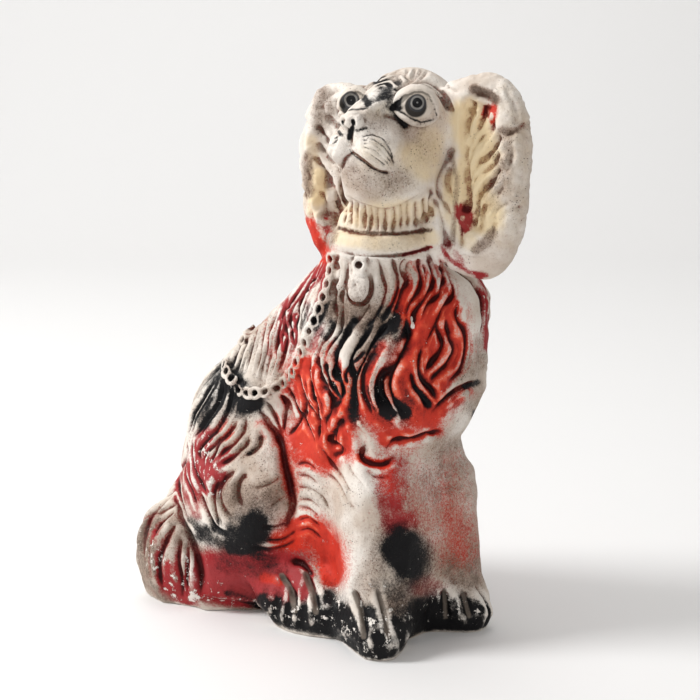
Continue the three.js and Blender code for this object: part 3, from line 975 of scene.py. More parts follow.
@dataclass
class Ears:
    """The ears: the rim round the hollow, and the flame-like locks inside."""

    hollow: tuple[Point, ...] = (
        (935, 300), (965, 235), (1010, 200), (1070, 188), (1125, 205), (1160, 262), (1172, 335), (1158, 400),
        (1190, 452), (1176, 540), (1188, 620), (1150, 715), (1112, 800), (1104, 880), (1125, 950),
        (1085, 1010), (1010, 1030), (955, 930), (925, 800), (905, 640), (905, 440),
    )
    flames: tuple[tuple[Point, ...], ...] = (
        ((1075, 300), (1052, 380), (1005, 470), (965, 550), (940, 640), (950, 740)),
        ((1105, 400), (1050, 470), (1005, 540), (970, 620), (958, 720)),
        ((1150, 470), (1090, 540), (1035, 610), (985, 690), (955, 780)),
        ((1150, 560), (1090, 630), (1030, 690), (980, 770), (955, 870)),
        ((1165, 650), (1110, 715), (1050, 785), (1010, 870), (1000, 960)), ((1090, 850), (1055, 900), (1040, 970)),
        ((975, 340), (950, 420), (942, 520), (935, 600)), ((1010, 300), (985, 380), (985, 440)),
    )
    fringe: tuple[tuple[Point, ...], ...] = (
        ((905, 535), (870, 620), (842, 700), (842, 785), (872, 840), (898, 915), (888, 1000), (884, 1070)),
        ((890, 640), (880, 720), (908, 820), (918, 940), (908, 1050)),
        ((925, 760), (930, 860), (950, 960), (960, 1060)), ((800, 760), (830, 850), (858, 940), (872, 1060)),
    )
    rim: tuple[tuple[Point, ...], ...] = (
        ((1195, 462), (1240, 440), (1300, 402), (1330, 385)), ((1215, 828), (1160, 870), (1140, 940), (1135, 1005)),
        ((1220, 210), (1260, 290), (1265, 370)), ((1290, 850), (1220, 880), (1150, 950)),
        ((1245, 520), (1235, 600), (1205, 680), (1180, 760)),
    )
    swellings: tuple[Point, ...] = ((1215, 300), (1250, 600), (1190, 900), (1010, 1150))

    def shape(self, relief: HeadRelief) -> None:
        """Sinks the hollow and cuts the locks.

        Args:
            relief: the head.
        """
        _, ears = relief.masks()
        edge = relief.millimetres(list(self.hollow) + [self.hollow[0]])
        within = inside(relief.spots, self.hollow)
        relief.press(3.2 * eased(edge, 0.0, 3.4) * within * ears * relief.shown, 0.0)
        swell = sum(relief.bump(at, (170, 90), 85, 1.2, ears) for at in self.swellings)
        relief.press(swell * (1 - within))
        sunk = relief.strokes([(line, 6.0, 4.6) for line in self.flames], ears)
        raised = relief.strokes([([(x + 38, y + 30) for x, y in line], 4.5, 2.2) for line in self.flames], ears)
        relief.press(sunk - raised, 0.4)
        rim = relief.strokes([(line, 2.6, 1.5) for line in self.rim], ears)
        cuts = np.maximum(rim, relief.strokes([(line, 3.4, 2.2) for line in self.fringe], relief.side > 10))
        relief.press(cuts, 0.6)


@dataclass
class Ruff:
    """The tufts between the chin and the collar, and the furrow along the collar's edges."""

    tops: tuple[Point, ...] = (
        (262, 810), (296, 800), (335, 812), (372, 828), (408, 840), (445, 852), (490, 858), (535, 858), (580, 850),
        (625, 835), (668, 825), (710, 815), (752, 800), (792, 770),
    )
    fall: float = 150.0

    def grooves(self) -> list[Groove]:
        """The grooves of the ruff and of the collar's edges."""
        curves = []
        for index, (x, y) in enumerate(self.tops):
            lean = 8 * math.sin(index * 1.7)
            curves.append([(x, y), (x + lean, y + self.fall * 0.45), (x - lean * 0.4, y + self.fall)])
        top = [(262, 962), (300, 975), (340, 988), (450, 1004), (600, 1000), (700, 990), (790, 968)]
        low = [(262, 1092), (310, 1108), (400, 1124), (560, 1126), (700, 1106), (795, 1072)]
        chin = [(280, 780), (330, 812), (420, 850), (520, 872), (620, 850), (700, 805), (770, 760)]
        return (
            grooves(Sheet.HEAD, 3.2, 1.6, *curves)
            + grooves(Sheet.HEAD, 2.2, 1.5, top, low)
            + grooves(Sheet.HEAD, 3.0, 1.3, chin)
        )


@dataclass
class Chain:
    """The chain from the collar over the shoulder and the back.

    Its links are rings laid flat on the coat.
    """

    sheet: Sheet = Sheet.CHEST
    route: tuple[Point, ...] = (
        (694, 92), (690, 150), (682, 205), (662, 270), (640, 335), (612, 405), (575, 480), (550, 550),
        (520, 615), (490, 690), (455, 735), (410, 768), (350, 795), (290, 800), (225, 788), (180, 745),
        (150, 700), (138, 660), (142, 640),
    )
    pitch: float = 7.0
    length: float = 9.6
    width: float = 8.2
    wire: float = 1.2
    lift: float = 1.2
    centres: list[tuple[Vector, Vector]] = field(default_factory=list)
    behind: tuple[Point, ...] = ((-84.0, 49.5), (-90.0, 51.0), (-98.0, 52.0), (-106.0, 52.0))

    def places(self, carver: Carver) -> list[tuple[Vector, Vector]]:
        """Points of the route on the skin with the way the skin faces.

        Args:
            carver: gives the skin's search tree.

        Returns:
            Pairs of place and direction.
        """
        found = []
        for point in curve_through(self.route, 4.0):
            hit, facing = CAMERA.hit(carver.tree, self.sheet, point)
            if hit is not None:
                found.append((hit, facing))
        for angle, height in self.behind:
            found.append(round_body(carver.tree, angle, height))
        return found

    def build(self, form: bmesh.types.BMesh, carver: Carver) -> int:
        """Adds the links to a form.

        Args:
            form: the form that receives them.
            carver: gives the skin's search tree.

        Returns:
            How many links there are.
        """
        spots = self.places(carver)
        travelled, count = self.pitch, 0
        for index in range(1, len(spots) - 1):
            travelled += (spots[index][0] - spots[index - 1][0]).length / MM
            if travelled < self.pitch:
                continue
            travelled = 0.0
            count += 1
            place, facing = spots[index]
            ahead = (spots[index + 1][0] - spots[index - 1][0]).normalized()
            side = ahead.cross(facing).normalized()
            ahead = facing.cross(side)
            turn = Matrix([side, ahead, facing]).transposed().to_4x4()
            self.centres.append((place, ahead))
            ring(
                form,
                Matrix.Translation(place + facing * self.lift * MM) @ turn,
                (self.width / 2 - self.wire) * MM,
                self.wire * MM,
                self.length / self.width,
            )
        return count


def spun(form: bmesh.types.BMesh, section: list, steps: int) -> list:
    """Spins a section once round Z.

    Args:
        form: the form that holds it.
        section: its vertices and edges.
        steps: how many faces go round.

    Returns:
        The last of what was spun.
    """
    return bmesh.ops.spin(
        form,
        geom=section,
        cent=(0, 0, 0),
        axis=(0, 0, 1),
        angle=2 * math.pi,
        steps=steps,
        use_merge=True,
        use_normal_flip=False,
        use_duplicate=False,
    )["geom_last"]


def ring(form: bmesh.types.BMesh, place: Matrix, radius: float, wire: float, stretch: float) -> None:
    """Adds a closed ring of round wire, spun from a circle.

    Args:
        form: the form that receives it.
        place: where it lies, with its hole along Z.
        radius: the radius of the wire's middle.
        wire: the wire's radius.
        stretch: how much longer it is along Y.
    """
    section = bmesh.ops.create_circle(
        form, segments=8, radius=wire, matrix=Matrix.Translation((radius, 0, 0)) @ Matrix.Rotation(math.pi / 2, 4, "X")
    )["verts"]
    edges = list({edge for vertex in section for edge in vertex.link_edges})
    made = spun(form, edges + section, 16)
    verts = set(section) | {item for item in made if isinstance(item, bmesh.types.BMVert)}
    grown = True
    while grown:
        linked = {other for vertex in verts for edge in vertex.link_edges for other in edge.verts}
        grown = len(linked) > len(verts)
        verts |= linked
    shape = place @ Matrix.Diagonal((1, stretch, 1, 1))
    bmesh.ops.transform(form, matrix=shape, verts=list(verts))


def round_body(tree: BVHTree, angle: float, height: float) -> tuple[Vector, Vector]:
    """A place on the body given round its axis.

    Args:
        tree: the skin's search tree.
        angle: degrees round the body, 0 on the display side and 90 on the chest.
        height: the height in per cent of the whole figure's.

    Returns:
        The place and the way the skin faces there.
    """
    level = height * PER_CENT
    axis = Vector((min(level / COLLAR_LEVEL, 1.0) * COLLAR_LEAN * MM, 0, level * MM))
    out = Vector((math.sin(math.radians(angle)), -math.cos(math.radians(angle)), 0))
    hit, facing, *_ = tree.ray_cast(axis + out * 0.3, -out)
    return hit, facing


@dataclass
class Collar:
    """The band round the neck and the padlock on it, in millimetres."""

    centre: Triple = (54.7, -10.5, 222.6)
    radius: float = 29.9
    height: float = 11.8
    tilt: float = -5.0
    # The band's section: out from the radius, lower or upper edge, and up from that.
    section: tuple[Triple, ...] = (
        (-8, -1, 0), (-0.4, -1, 0), (1.0, -1, 0.9), (1.0, -1, 1.8), (0.5, -1, 2.8), (0.4, 1, -1.6), (0.1, 1, -0.4),
        (-0.8, 1, 0), (-8, 1, 0),
    )

    def build(self, form: bmesh.types.BMesh) -> None:
        """Adds the band, spun from its section.

        Args:
            form: the form that receives it.
        """
        half = self.height / 2
        outline = [(self.radius + out, half * side + up) for out, side, up in self.section]
        verts = [form.verts.new((x * MM, 0, z * MM)) for x, z in outline]
        edges = [form.edges.new((verts[i], verts[(i + 1) % len(verts)])) for i in range(len(verts))]
        before = set(form.verts) - set(verts)
        spun(form, verts + edges, 96)
        made = [vertex for vertex in form.verts if vertex not in before]
        place = Matrix.Translation(Vector(self.centre) * MM) @ Matrix.Rotation(math.radians(self.tilt), 4, "X")
        bmesh.ops.transform(form, matrix=place, verts=made)


@dataclass
class Padlock:
    """The padlock under the collar, placed where the photograph shows it."""

    body_at: Point = (829, 243)
    ring_at: Point = (836, 128)
    width: float = 12.2
    height: float = 17.4
    thickness: float = 4.6
    faces: Triple = (0.36, -0.93, 0.05)
    squareness: Triple = (0.72, 0.95, 0.6)
    ring_radius: float = 3.1
    ring_wire: float = 1.4
    ring_lift: float = 2.2

    def build(self, form: bmesh.types.BMesh, tree: BVHTree) -> None:
        """Adds the body and its ring.

        Args:
            form: the form that receives them.
            tree: the skin's search tree.
        """
        place, _ = CAMERA.hit(tree, Sheet.CHEST, self.body_at)
        facing = Vector(self.faces).normalized()
        up = Vector((0, 0, 1))
        side = up.cross(facing).normalized()
        up = facing.cross(side)
        turn = Matrix([side, up, facing]).transposed().to_4x4()
        made = bmesh.ops.create_uvsphere(form, u_segments=32, v_segments=20, radius=1.0)["verts"]
        square, lower, flat = self.squareness
        for vertex in made:
            x, y, z = vertex.co
            vertex.co.x = math.copysign(abs(x) ** square, x)
            vertex.co.y = math.copysign(abs(y) ** (square if y > 0 else lower), y)
            vertex.co.z = math.copysign(abs(z) ** flat, z)
        shape = Matrix.Diagonal((self.width / 2 * MM, self.height / 2 * MM, self.thickness * MM, 1))
        bmesh.ops.transform(form, matrix=Matrix.Translation(place) @ turn @ shape, verts=made)
        place = CAMERA.hit(tree, Sheet.CHEST, self.ring_at)[0] + facing * self.ring_lift * MM
        ring(form, Matrix.Translation(place) @ turn, self.ring_radius * MM, self.ring_wire * MM, 1.05)

    def grooves(self) -> list[Groove]:
        """The furrow round the body, the keyhole, the line under the ring and the ring's hollow."""
        edge = [(772, 185), (755, 240), (765, 295), (795, 328), (830, 338), (866, 325), (892, 285), (897, 235)]
        edge.append((890, 190))
        return (
            grooves(Sheet.CHEST, 1.4, 2.4, edge)
            + grooves(Sheet.CHEST, 1.1, 1.2, [(806, 222), (812, 246)])
            + grooves(Sheet.CHEST, 1.2, 1.0, [(778, 176), (830, 196), (884, 190)])
            + grooves(Sheet.CHEST, 2.4, 3.0, [(830, 118), (836, 136)])
            + grooves(Sheet.CHEST, 1.6, 1.2, [(788, 150), (782, 118), (800, 92), (836, 80), (870, 95), (884, 125)])
        )


@dataclass
class Fillings:
    """Hair that closes the gaps between the neck and the ears, in millimetres."""

    lumps: tuple[tuple[Triple, Triple], ...] = (
        ((89.0, -5.0, 240.0), (10.0, 11.0, 27.0)),
        ((13.0, -3.0, 240.0), (12.0, 11.0, 27.0)),
    )

    def build(self, form: bmesh.types.BMesh) -> None:
        """Adds the lumps.

        Args:
            form: the form that receives them.
        """
        for at, radii in self.lumps:
            place = Matrix.Translation(Vector(at) * MM) @ Matrix.Diagonal((*(r * MM for r in radii), 1))
            bmesh.ops.create_uvsphere(form, u_segments=32, v_segments=24, radius=1.0, matrix=place)


class Sprays:
    """The strokes of paint and the stains that the photograph shows, by window and paint.

    Each has its places, its radius and, where it doesn't cover fully, its strength.
    """

    # Paint of the chest, the shoulder and the collar.
    chest: ClassVar[Strokes] = {
        Paint.SCARLET: (
            (((1130, 340), (1160, 480), (1120, 640), (1100, 760), (1150, 860)), 130),
            (((1270, 380), (1330, 470), (1340, 560), (1290, 660), (1220, 760)), 80),
            (((1290, 300), (1330, 360)), 50, 0.8), (((1190, 240), (1160, 330)), 60, 0.7),
            (((1050, 290), (1020, 350)), 45, 0.45), (((550, 680), (590, 800), (640, 930)), 85),
            (((735, 720), (755, 820), (730, 930)), 60), (((1010, 740), (960, 860), (960, 930)), 70),
            (((870, 850), (920, 930)), 50, 0.9), (((1250, 850), (1200, 930)), 70, 0.9),
            (((1400, 790), (1330, 850)), 35, 0.6), (((940, 560), (900, 680), (870, 780)), 55, 0.65),
            (((690, 560), (700, 660), (750, 700)), 50, 0.6), (((840, 620), (820, 760), (850, 880)), 40, 0.7),
            (((1120, 120), (1200, 200)), 45, 0.3), (((1250, 130), (1290, 240)), 40, 0.4),
            (((330, 420), (420, 640)), 60, 0.22),
        ),
        Paint.CRIMSON: (
            (((640, 470), (600, 560)), 40, 0.5), (((560, 330), (570, 420)), 20, 0.4),
            (((620, 160), (540, 260), (450, 350), (430, 450), (445, 560)), 38, 0.85),
            (((500, 400), (495, 530)), 22, 0.8), (((650, 120), (640, 250), (610, 330)), 16, 0.6),
            (((1460, 200), (1490, 290), (1500, 400), (1505, 560)), 26, 0.85), (((590, 20), (620, 90)), 28, 0.8),
            (((370, 500), (360, 600)), 16, 0.35),
        ),
        Paint.GRIME: (
            (Chain.route, 26, 0.45),
            (((700, 380), (900, 420), (1060, 400)), 90, 0.75), (((780, 300), (960, 300), (1080, 200)), 110, 0.4),
            (((300, 380), (350, 600), (420, 700)), 110, 0.4), (((1480, 560), (1400, 700), (1440, 850)), 90, 0.5),
            (((900, 480), (860, 620), (840, 760)), 90, 0.6), (((660, 560), (690, 700), (760, 880)), 60, 0.5),
        ),
        Paint.CHIPS: (
            (((700, 700), (900, 840), (1100, 880)), 110, 0.35),
        ),
        Paint.BLACK: (
            (((800, 430), (720, 550), (690, 640), (710, 740), (735, 790)), 38, 0.7),
            (((1000, 480), (990, 680), (1050, 850)), 110, 0.34), (((600, 800), (700, 900)), 90, 0.24),
            (((1250, 800), (1330, 850)), 60, 0.3), (((1180, 600), (1200, 740)), 70, 0.24),
            (((910, 450), (830, 560), (790, 660), (795, 800), (805, 930)), 38, 0.7),
            (((1010, 410), (1040, 500)), 45, 0.62), (((980, 450), (880, 580), (830, 680)), 30, 0.7),
            (((910, 790), (940, 870), (990, 910)), 42), (((1020, 870), (1070, 900)), 45),
            (((1120, 780), (1190, 860)), 28, 0.75), (((650, 340), (600, 440)), 40, 0.8),
            (((690, 440), (650, 500)), 30, 0.7), (((560, 350), (520, 450)), 30, 0.5),
            (((180, 750), (90, 850), (30, 930)), 85, 0.9), (((240, 870), (290, 850)), 50),
            (((120, 640), (60, 760)), 40, 0.6), (((250, 560), (190, 660)), 45, 0.35),
            (((1450, 745), (1390, 770)), 20, 0.7), (((1435, 900), (1430, 938)), 12, 0.9),
            (((960, 380), (1000, 420), (1050, 440)), 50, 0.6),
        ),
        Paint.CHALK: (
            (((1106, 402), (1109, 436)), 7, 1.3), (((1111, 446), (1112, 452)), 14, 1.3),
        ),
    }

    # Paint of the haunch, the belly and the tail.
    flank: ClassVar[Strokes] = {
        Paint.CRIMSON: (
            (((540, 320), (480, 430), (500, 560)), 70, 0.85), (((640, 450), (560, 520), (600, 570)), 55, 0.75),
            (((400, 540), (450, 640), (530, 650)), 55, 0.75), (((345, 560), (345, 720)), 28, 0.6),
            (((540, 1160), (700, 1190), (850, 1210), (960, 1270)), 150, 0.9),
            (((480, 1240), (620, 1300), (760, 1320)), 60, 0.8), (((880, 1100), (1000, 1120), (1100, 1180)), 90, 0.7),
            (((300, 1200), (400, 1280)), 90, 0.6), (((430, 700), (470, 800)), 60, 0.45),
            (((1050, 1190), (1100, 1290)), 50, 0.8), (((205, 920), (220, 1100), (260, 1180)), 32, 0.5),
            (((290, 1150), (300, 1250), (400, 1320)), 70, 0.5), (((450, 1130), (470, 1250)), 35, 0.55),
            (((180, 860), (280, 980), (330, 1180)), 90, 0.3), (((700, 1060), (900, 1090), (1080, 1050)), 110, 0.45),
        ),
        Paint.SCARLET: (
            (((600, 250), (650, 330)), 65, 0.45), (((850, 270), (960, 400), (990, 500), (1010, 640)), 50, 0.4),
            (((1050, 420), (1120, 480), (1240, 520)), 80, 0.45), (((1040, 560), (1060, 700)), 60, 0.3),
            (((1060, 900), (1120, 865), (1190, 920), (1260, 1020), (1290, 1130)), 70),
            (((940, 960), (1050, 970)), 70, 0.75), (((870, 1190), (960, 1210)), 40, 0.6),
            (((1000, 60), (960, 200), (980, 320)), 35, 0.45),
            (((1140, 60), (1180, 250), (1240, 340), (1210, 420)), 100), (((1340, 150), (1330, 340)), 80),
        ),
        Paint.BLACK: (
            (((620, 1120), (800, 1150), (980, 1165)), 64, 0.32), (((560, 880), (640, 880)), 60, 0.5),
            (((870, 1330), (980, 1370)), 60, 0.9), (((830, 1020), (900, 1090)), 70, 0.45),
            (((300, 420), (260, 560)), 60, 0.5), (((810, 870), (830, 900)), 110),
            (((700, 930), (600, 960), (520, 930)), 70, 0.62), (((680, 1010), (780, 1000)), 60, 0.85),
            (((480, 940), (430, 860)), 45, 0.5), (((735, 155), (800, 130)), 45), (((640, 50), (620, 150)), 55, 0.7),
            (((540, 50), (480, 200)), 45, 0.55), (((830, 350), (780, 440)), 22, 0.45),
            (((950, 1390), (1100, 1410), (1260, 1430)), 65, 0.95), (((1250, 1310), (1200, 1350)), 55, 0.7),
            (((900, 1400), (1050, 1450), (1200, 1480), (1290, 1500)), 60, 0.95),
            (((650, 1290), (800, 1340), (900, 1390)), 30, 0.6),
        ),
        Paint.CHIPS: (
            (((480, 400), (480, 560), (560, 640)), 90, 1.0),
            (((180, 950), (250, 1150), (420, 1250), (560, 1290)), 90, 1.0),
            (((700, 1340), (1000, 1400), (1250, 1430)), 60, 1.0),
        ),
        Paint.CHALK: (
            (((1200, 1420), (1250, 1440)), 20, 0.75), (((230, 1080), (260, 1110)), 25, 0.62),
            (((400, 1080), (420, 1200), (450, 1310)), 35, 0.6), (((270, 1260), (340, 1320), (640, 1320)), 25, 0.58),
            (((490, 410), (540, 480), (600, 560)), 24, 0.56), (((430, 560), (470, 640)), 24, 0.52),
        ),
        Paint.GRIME: (
            (((420, 1290), (650, 1340), (850, 1400)), 40, 0.7), (((220, 800), (160, 950), (200, 1150)), 60, 0.5),
            (((620, 700), (700, 820), (900, 700)), 110, 0.45), (((560, 200), (700, 240), (620, 420)), 140, 0.45),
            (((850, 450), (900, 600), (800, 700)), 170, 0.4), (((150, 900), (260, 1000), (330, 1200)), 120, 0.5),
            (((700, 700), (900, 800), (980, 720)), 130, 0.4), (((650, 1080), (900, 1080), (1080, 1000)), 110, 0.55),
            (((1060, 500), (1150, 620), (1200, 800)), 120, 0.3), (((330, 850), (400, 1000), (520, 1060)), 60, 0.6),
            (((100, 1000), (160, 1220), (300, 1340)), 40, 0.5), (((1100, 1050), (1220, 1200)), 60, 0.6),
        ),
        Paint.BARE: (
            (((975, 1180), (1030, 1270), (1055, 1390)), 22, 0.95),
            (((1115, 1170), (1160, 1290), (1180, 1400)), 22, 0.95),
            (((150, 900), (110, 1050), (170, 1250), (300, 1330)), 50, 0.5),
        ),
    }

    # Paint of the legs and the feet.
    feet: ClassVar[Strokes] = {
        Paint.BLACK: (
            (((610, 700), (680, 770)), 100), (((640, 610), (700, 640)), 60, 0.6), (((740, 720), (720, 820)), 60, 0.5),
            (((470, 1110), (450, 1250)), 120, 0.95), (((300, 1060), (380, 1230)), 70, 0.95),
            (((600, 1150), (560, 1250)), 80, 0.8), (((890, 1030), (1040, 1050), (1130, 1080)), 90, 0.95),
            (((740, 1040), (800, 1030)), 80, 0.75), (((0, 1080), (120, 1090), (230, 1090)), 60, 0.95),
            (((170, 1000), (220, 960)), 50, 0.6), (((1082, 20), (1082, 200)), 9, 0.9),
            (((640, 620), (760, 720), (700, 840)), 110, 0.35), (((500, 900), (620, 960)), 60, 0.45),
            (((600, 1180), (720, 1120), (860, 1100), (1130, 1130)), 80, 0.95),
            (((330, 1150), (430, 1290), (530, 1300), (610, 1240)), 65, 0.95),
        ),
        Paint.CRIMSON: (
            (((540, 200), (560, 380), (600, 560)), 90, 0.38), (((620, 560), (700, 520)), 70, 0.5),
            (((760, 900), (860, 960)), 90, 0.4), (((640, 200), (620, 400)), 80, 0.4),
            (((1010, 560), (1040, 700)), 90, 0.2),
        ),
        Paint.SCARLET: (
            (((960, 200), (1000, 500), (1040, 700)), 140, 0.2), (((540, 240), (560, 330)), 60, 0.3),
            (((700, 300), (800, 450), (900, 640)), 190, 0.24), (((400, 165), (470, 195), (560, 200)), 35, 0.9),
            (((60, 40), (180, 60), (290, 90)), 75, 0.95), (((560, 50), (680, 40)), 60, 0.9),
            (((860, 10), (720, 50)), 22, 0.7), (((140, 590), (230, 700), (240, 850)), 70, 0.95),
        ),
        Paint.CHALK: (
            (((345, 920), (372, 1010)), 26, 0.58), (((450, 895), (560, 930)), 30, 0.56),
            (((300, 1110), (325, 1210)), 18, 0.58), (((445, 1000), (475, 1150), (440, 1290)), 20, 0.58),
            (((850, 930), (872, 1050)), 20, 0.58), (((965, 950), (985, 1060)), 18, 0.6),
            (((1080, 950), (1130, 1020)), 22, 0.58),
        ),
        Paint.BARE: (
            (((375, 945), (410, 1040), (428, 1200)), 20, 0.95), (((510, 945), (545, 1050), (568, 1200)), 20, 0.95),
            (((897, 930), (903, 1085)), 16, 0.9), (((1002, 945), (1040, 1080)), 16, 0.9),
        ),
        Paint.CHIPS: (
            (((330, 1000), (450, 1220), (600, 1100)), 140, 1.0), (((850, 1000), (1120, 1060)), 90, 0.9),
        ),
        Paint.GRIME: (
            (((760, 420), (800, 600), (900, 760), (1050, 800)), 190, 0.4), (((820, 60), (860, 300)), 170, 0.3),
            (((950, 150), (1000, 400), (1030, 700)), 150, 0.42), (((560, 620), (500, 760), (440, 900)), 90, 0.45),
            (((300, 400), (380, 600)), 120, 0.25), (((930, 800), (1050, 860)), 90, 0.5),
            (((640, 1000), (700, 930)), 110, 0.7),
        ),
    }

    # Paint of the head, the ears and the collar.
    head: ClassVar[Strokes] = {
        Paint.BLACK: (
            (((500, 140), (555, 190), (520, 250)), 50, 0.8), (((440, 275), (520, 265), (590, 215)), 30, 0.3),
            (((236, 478), (262, 460)), 7, 0.8), (((228, 502), (268, 478)), 7, 0.8),
            (((600, 160), (640, 140)), 25, 0.35), (((600, 335), (640, 390)), 30, 0.55),
            (((572, 300), (605, 268), (645, 233)), 20, 1.0),
            (((645, 233), (695, 207), (740, 206), (778, 226), (808, 276), (824, 335)), 8, 0.9),
            (((590, 310), (640, 330), (672, 352), (735, 378), (800, 366)), 8, 0.8), (((598, 296), (640, 290)), 18, 0.8),
            (((640, 200), (690, 170), (750, 164), (808, 190), (855, 248), (885, 300)), 4, 0.55),
            (((620, 236), (655, 205), (705, 188), (755, 195), (800, 238), (832, 300)), 4, 0.5),
            (((288, 328), (308, 266), (340, 220), (378, 205), (412, 222), (442, 268)), 9, 0.95),
            (((415, 245), (445, 285)), 22, 0.8), (((300, 312), (350, 306), (440, 300)), 7, 0.7),
            (((352, 370), (356, 385)), 17, 0.95), (((292, 375), (290, 388)), 12, 0.9),
            (((345, 410), (330, 465)), 17, 0.95), (((430, 408), (372, 425)), 9, 0.6),
            (((275, 430), (290, 450)), 13, 0.7),
        ),
        Paint.GRIME: (
            (((390, 640), (530, 710)), 110, 0.28), (((700, 430), (790, 330), (800, 560)), 90, 0.22),
            (((430, 330), (500, 380)), 60, 0.35), (((520, 440), (700, 460), (640, 640)), 130, 0.24),
            (((300, 400), (330, 620)), 60, 0.22), (((1250, 200), (1290, 500), (1280, 900), (1180, 1150)), 110, 0.22),
            (((440, 1060), (700, 1050)), 60, 0.3), (((1210, 470), (1215, 560), (1200, 700), (1150, 850)), 40, 0.35),
            (((1040, 1090), (1090, 1050), (1130, 1000)), 40, 0.6),
            (((905, 560), (935, 700), (925, 880), (910, 1050)), 20, 0.5),
            (((160, 200), (150, 330), (170, 420)), 40, 0.5), (((90, 600), (110, 760)), 40, 0.45),
            (((200, 900), (240, 1000), (200, 1080)), 40, 0.6), (((330, 680), (450, 760), (620, 720)), 90, 0.32),
            (((1030, 190), (1110, 220), (1150, 250)), 34, 1.0), (((1180, 420), (1220, 430), (1260, 420)), 24, 0.7),
            (((280, 970), (400, 995), (600, 1000), (790, 980)), 12, 0.9),
            (((1130, 560), (1180, 600), (1110, 800)), 30, 0.35), (((200, 200), (220, 320)), 40, 0.5),
            (((100, 560), (105, 640), (105, 780)), 30, 0.5),
        ),
        Paint.CREAM: (
            (((790, 480), (760, 620), (700, 560)), 100, 0.55),
            (((1000, 350), (1060, 560), (1000, 760), (1080, 900)), 125, 1.0),
            (((900, 700), (900, 900), (1000, 1050)), 60, 0.5),
            (((280, 1020), (480, 1055), (640, 1050), (790, 1020)), 60, 0.55),
            (((320, 900), (560, 900), (760, 870)), 90, 0.5), (((460, 560), (640, 640), (560, 740)), 150, 0.28),
            (((470, 330), (560, 300)), 60, 0.3), (((1220, 220), (1280, 420), (1260, 700), (1200, 1000)), 120, 0.22),
            (((165, 680), (160, 800)), 50, 0.85), (((120, 480), (130, 600), (130, 880)), 50, 0.5),
        ),
        Paint.CRIMSON: (
            (((890, 1060), (930, 1110), (960, 1160)), 26, 0.4), (((965, 880), (975, 930)), 34, 1.0),
            (((1005, 890), (985, 980)), 24, 0.9), (((945, 840), (945, 900)), 16, 0.9),
            (((210, 1000), (200, 930)), 30, 0.5), (((640, 1118), (720, 1100), (790, 1075)), 9, 0.8),
            (((830, 1060), (900, 1150), (1000, 1215), (1100, 1235)), 14, 0.6),
        ),
        Paint.SCARLET: (
            (((1140, 300), (1130, 370)), 26, 0.7), (((1095, 300), (1080, 330)), 18, 0.6),
            (((180, 1120), (130, 1040), (100, 960)), 60, 0.85),
        ),
    }

    @classmethod
    def all(cls) -> list[Spray]:
        """Every stroke, and the dark lines of the whiskers and the lips."""
        tables = {Sheet.CHEST: cls.chest, Sheet.FLANK: cls.flank, Sheet.FEET: cls.feet, Sheet.HEAD: cls.head}
        found = [
            Spray(paint, sheet, *run)
            for sheet, table in tables.items()
            for paint, runs in table.items()
            for run in runs
        ]
        return found + [Spray(Paint.BLACK, Sheet.HEAD, line, 5, 0.6) for line in Face.whiskers + Face.lips[1:]]


@dataclass(frozen=True)
class Patch:
    """Paint on a side that the photograph doesn't show.

    Args:
        paint: what is sprayed.
        at: places round the body, as degrees and per cent of the height.
        radius: half the width in millimetres.
        strength: how much of the plaster it covers.
    """

    paint: Paint
    at: tuple[Point, ...]
    radius: float
    strength: float = 1.0


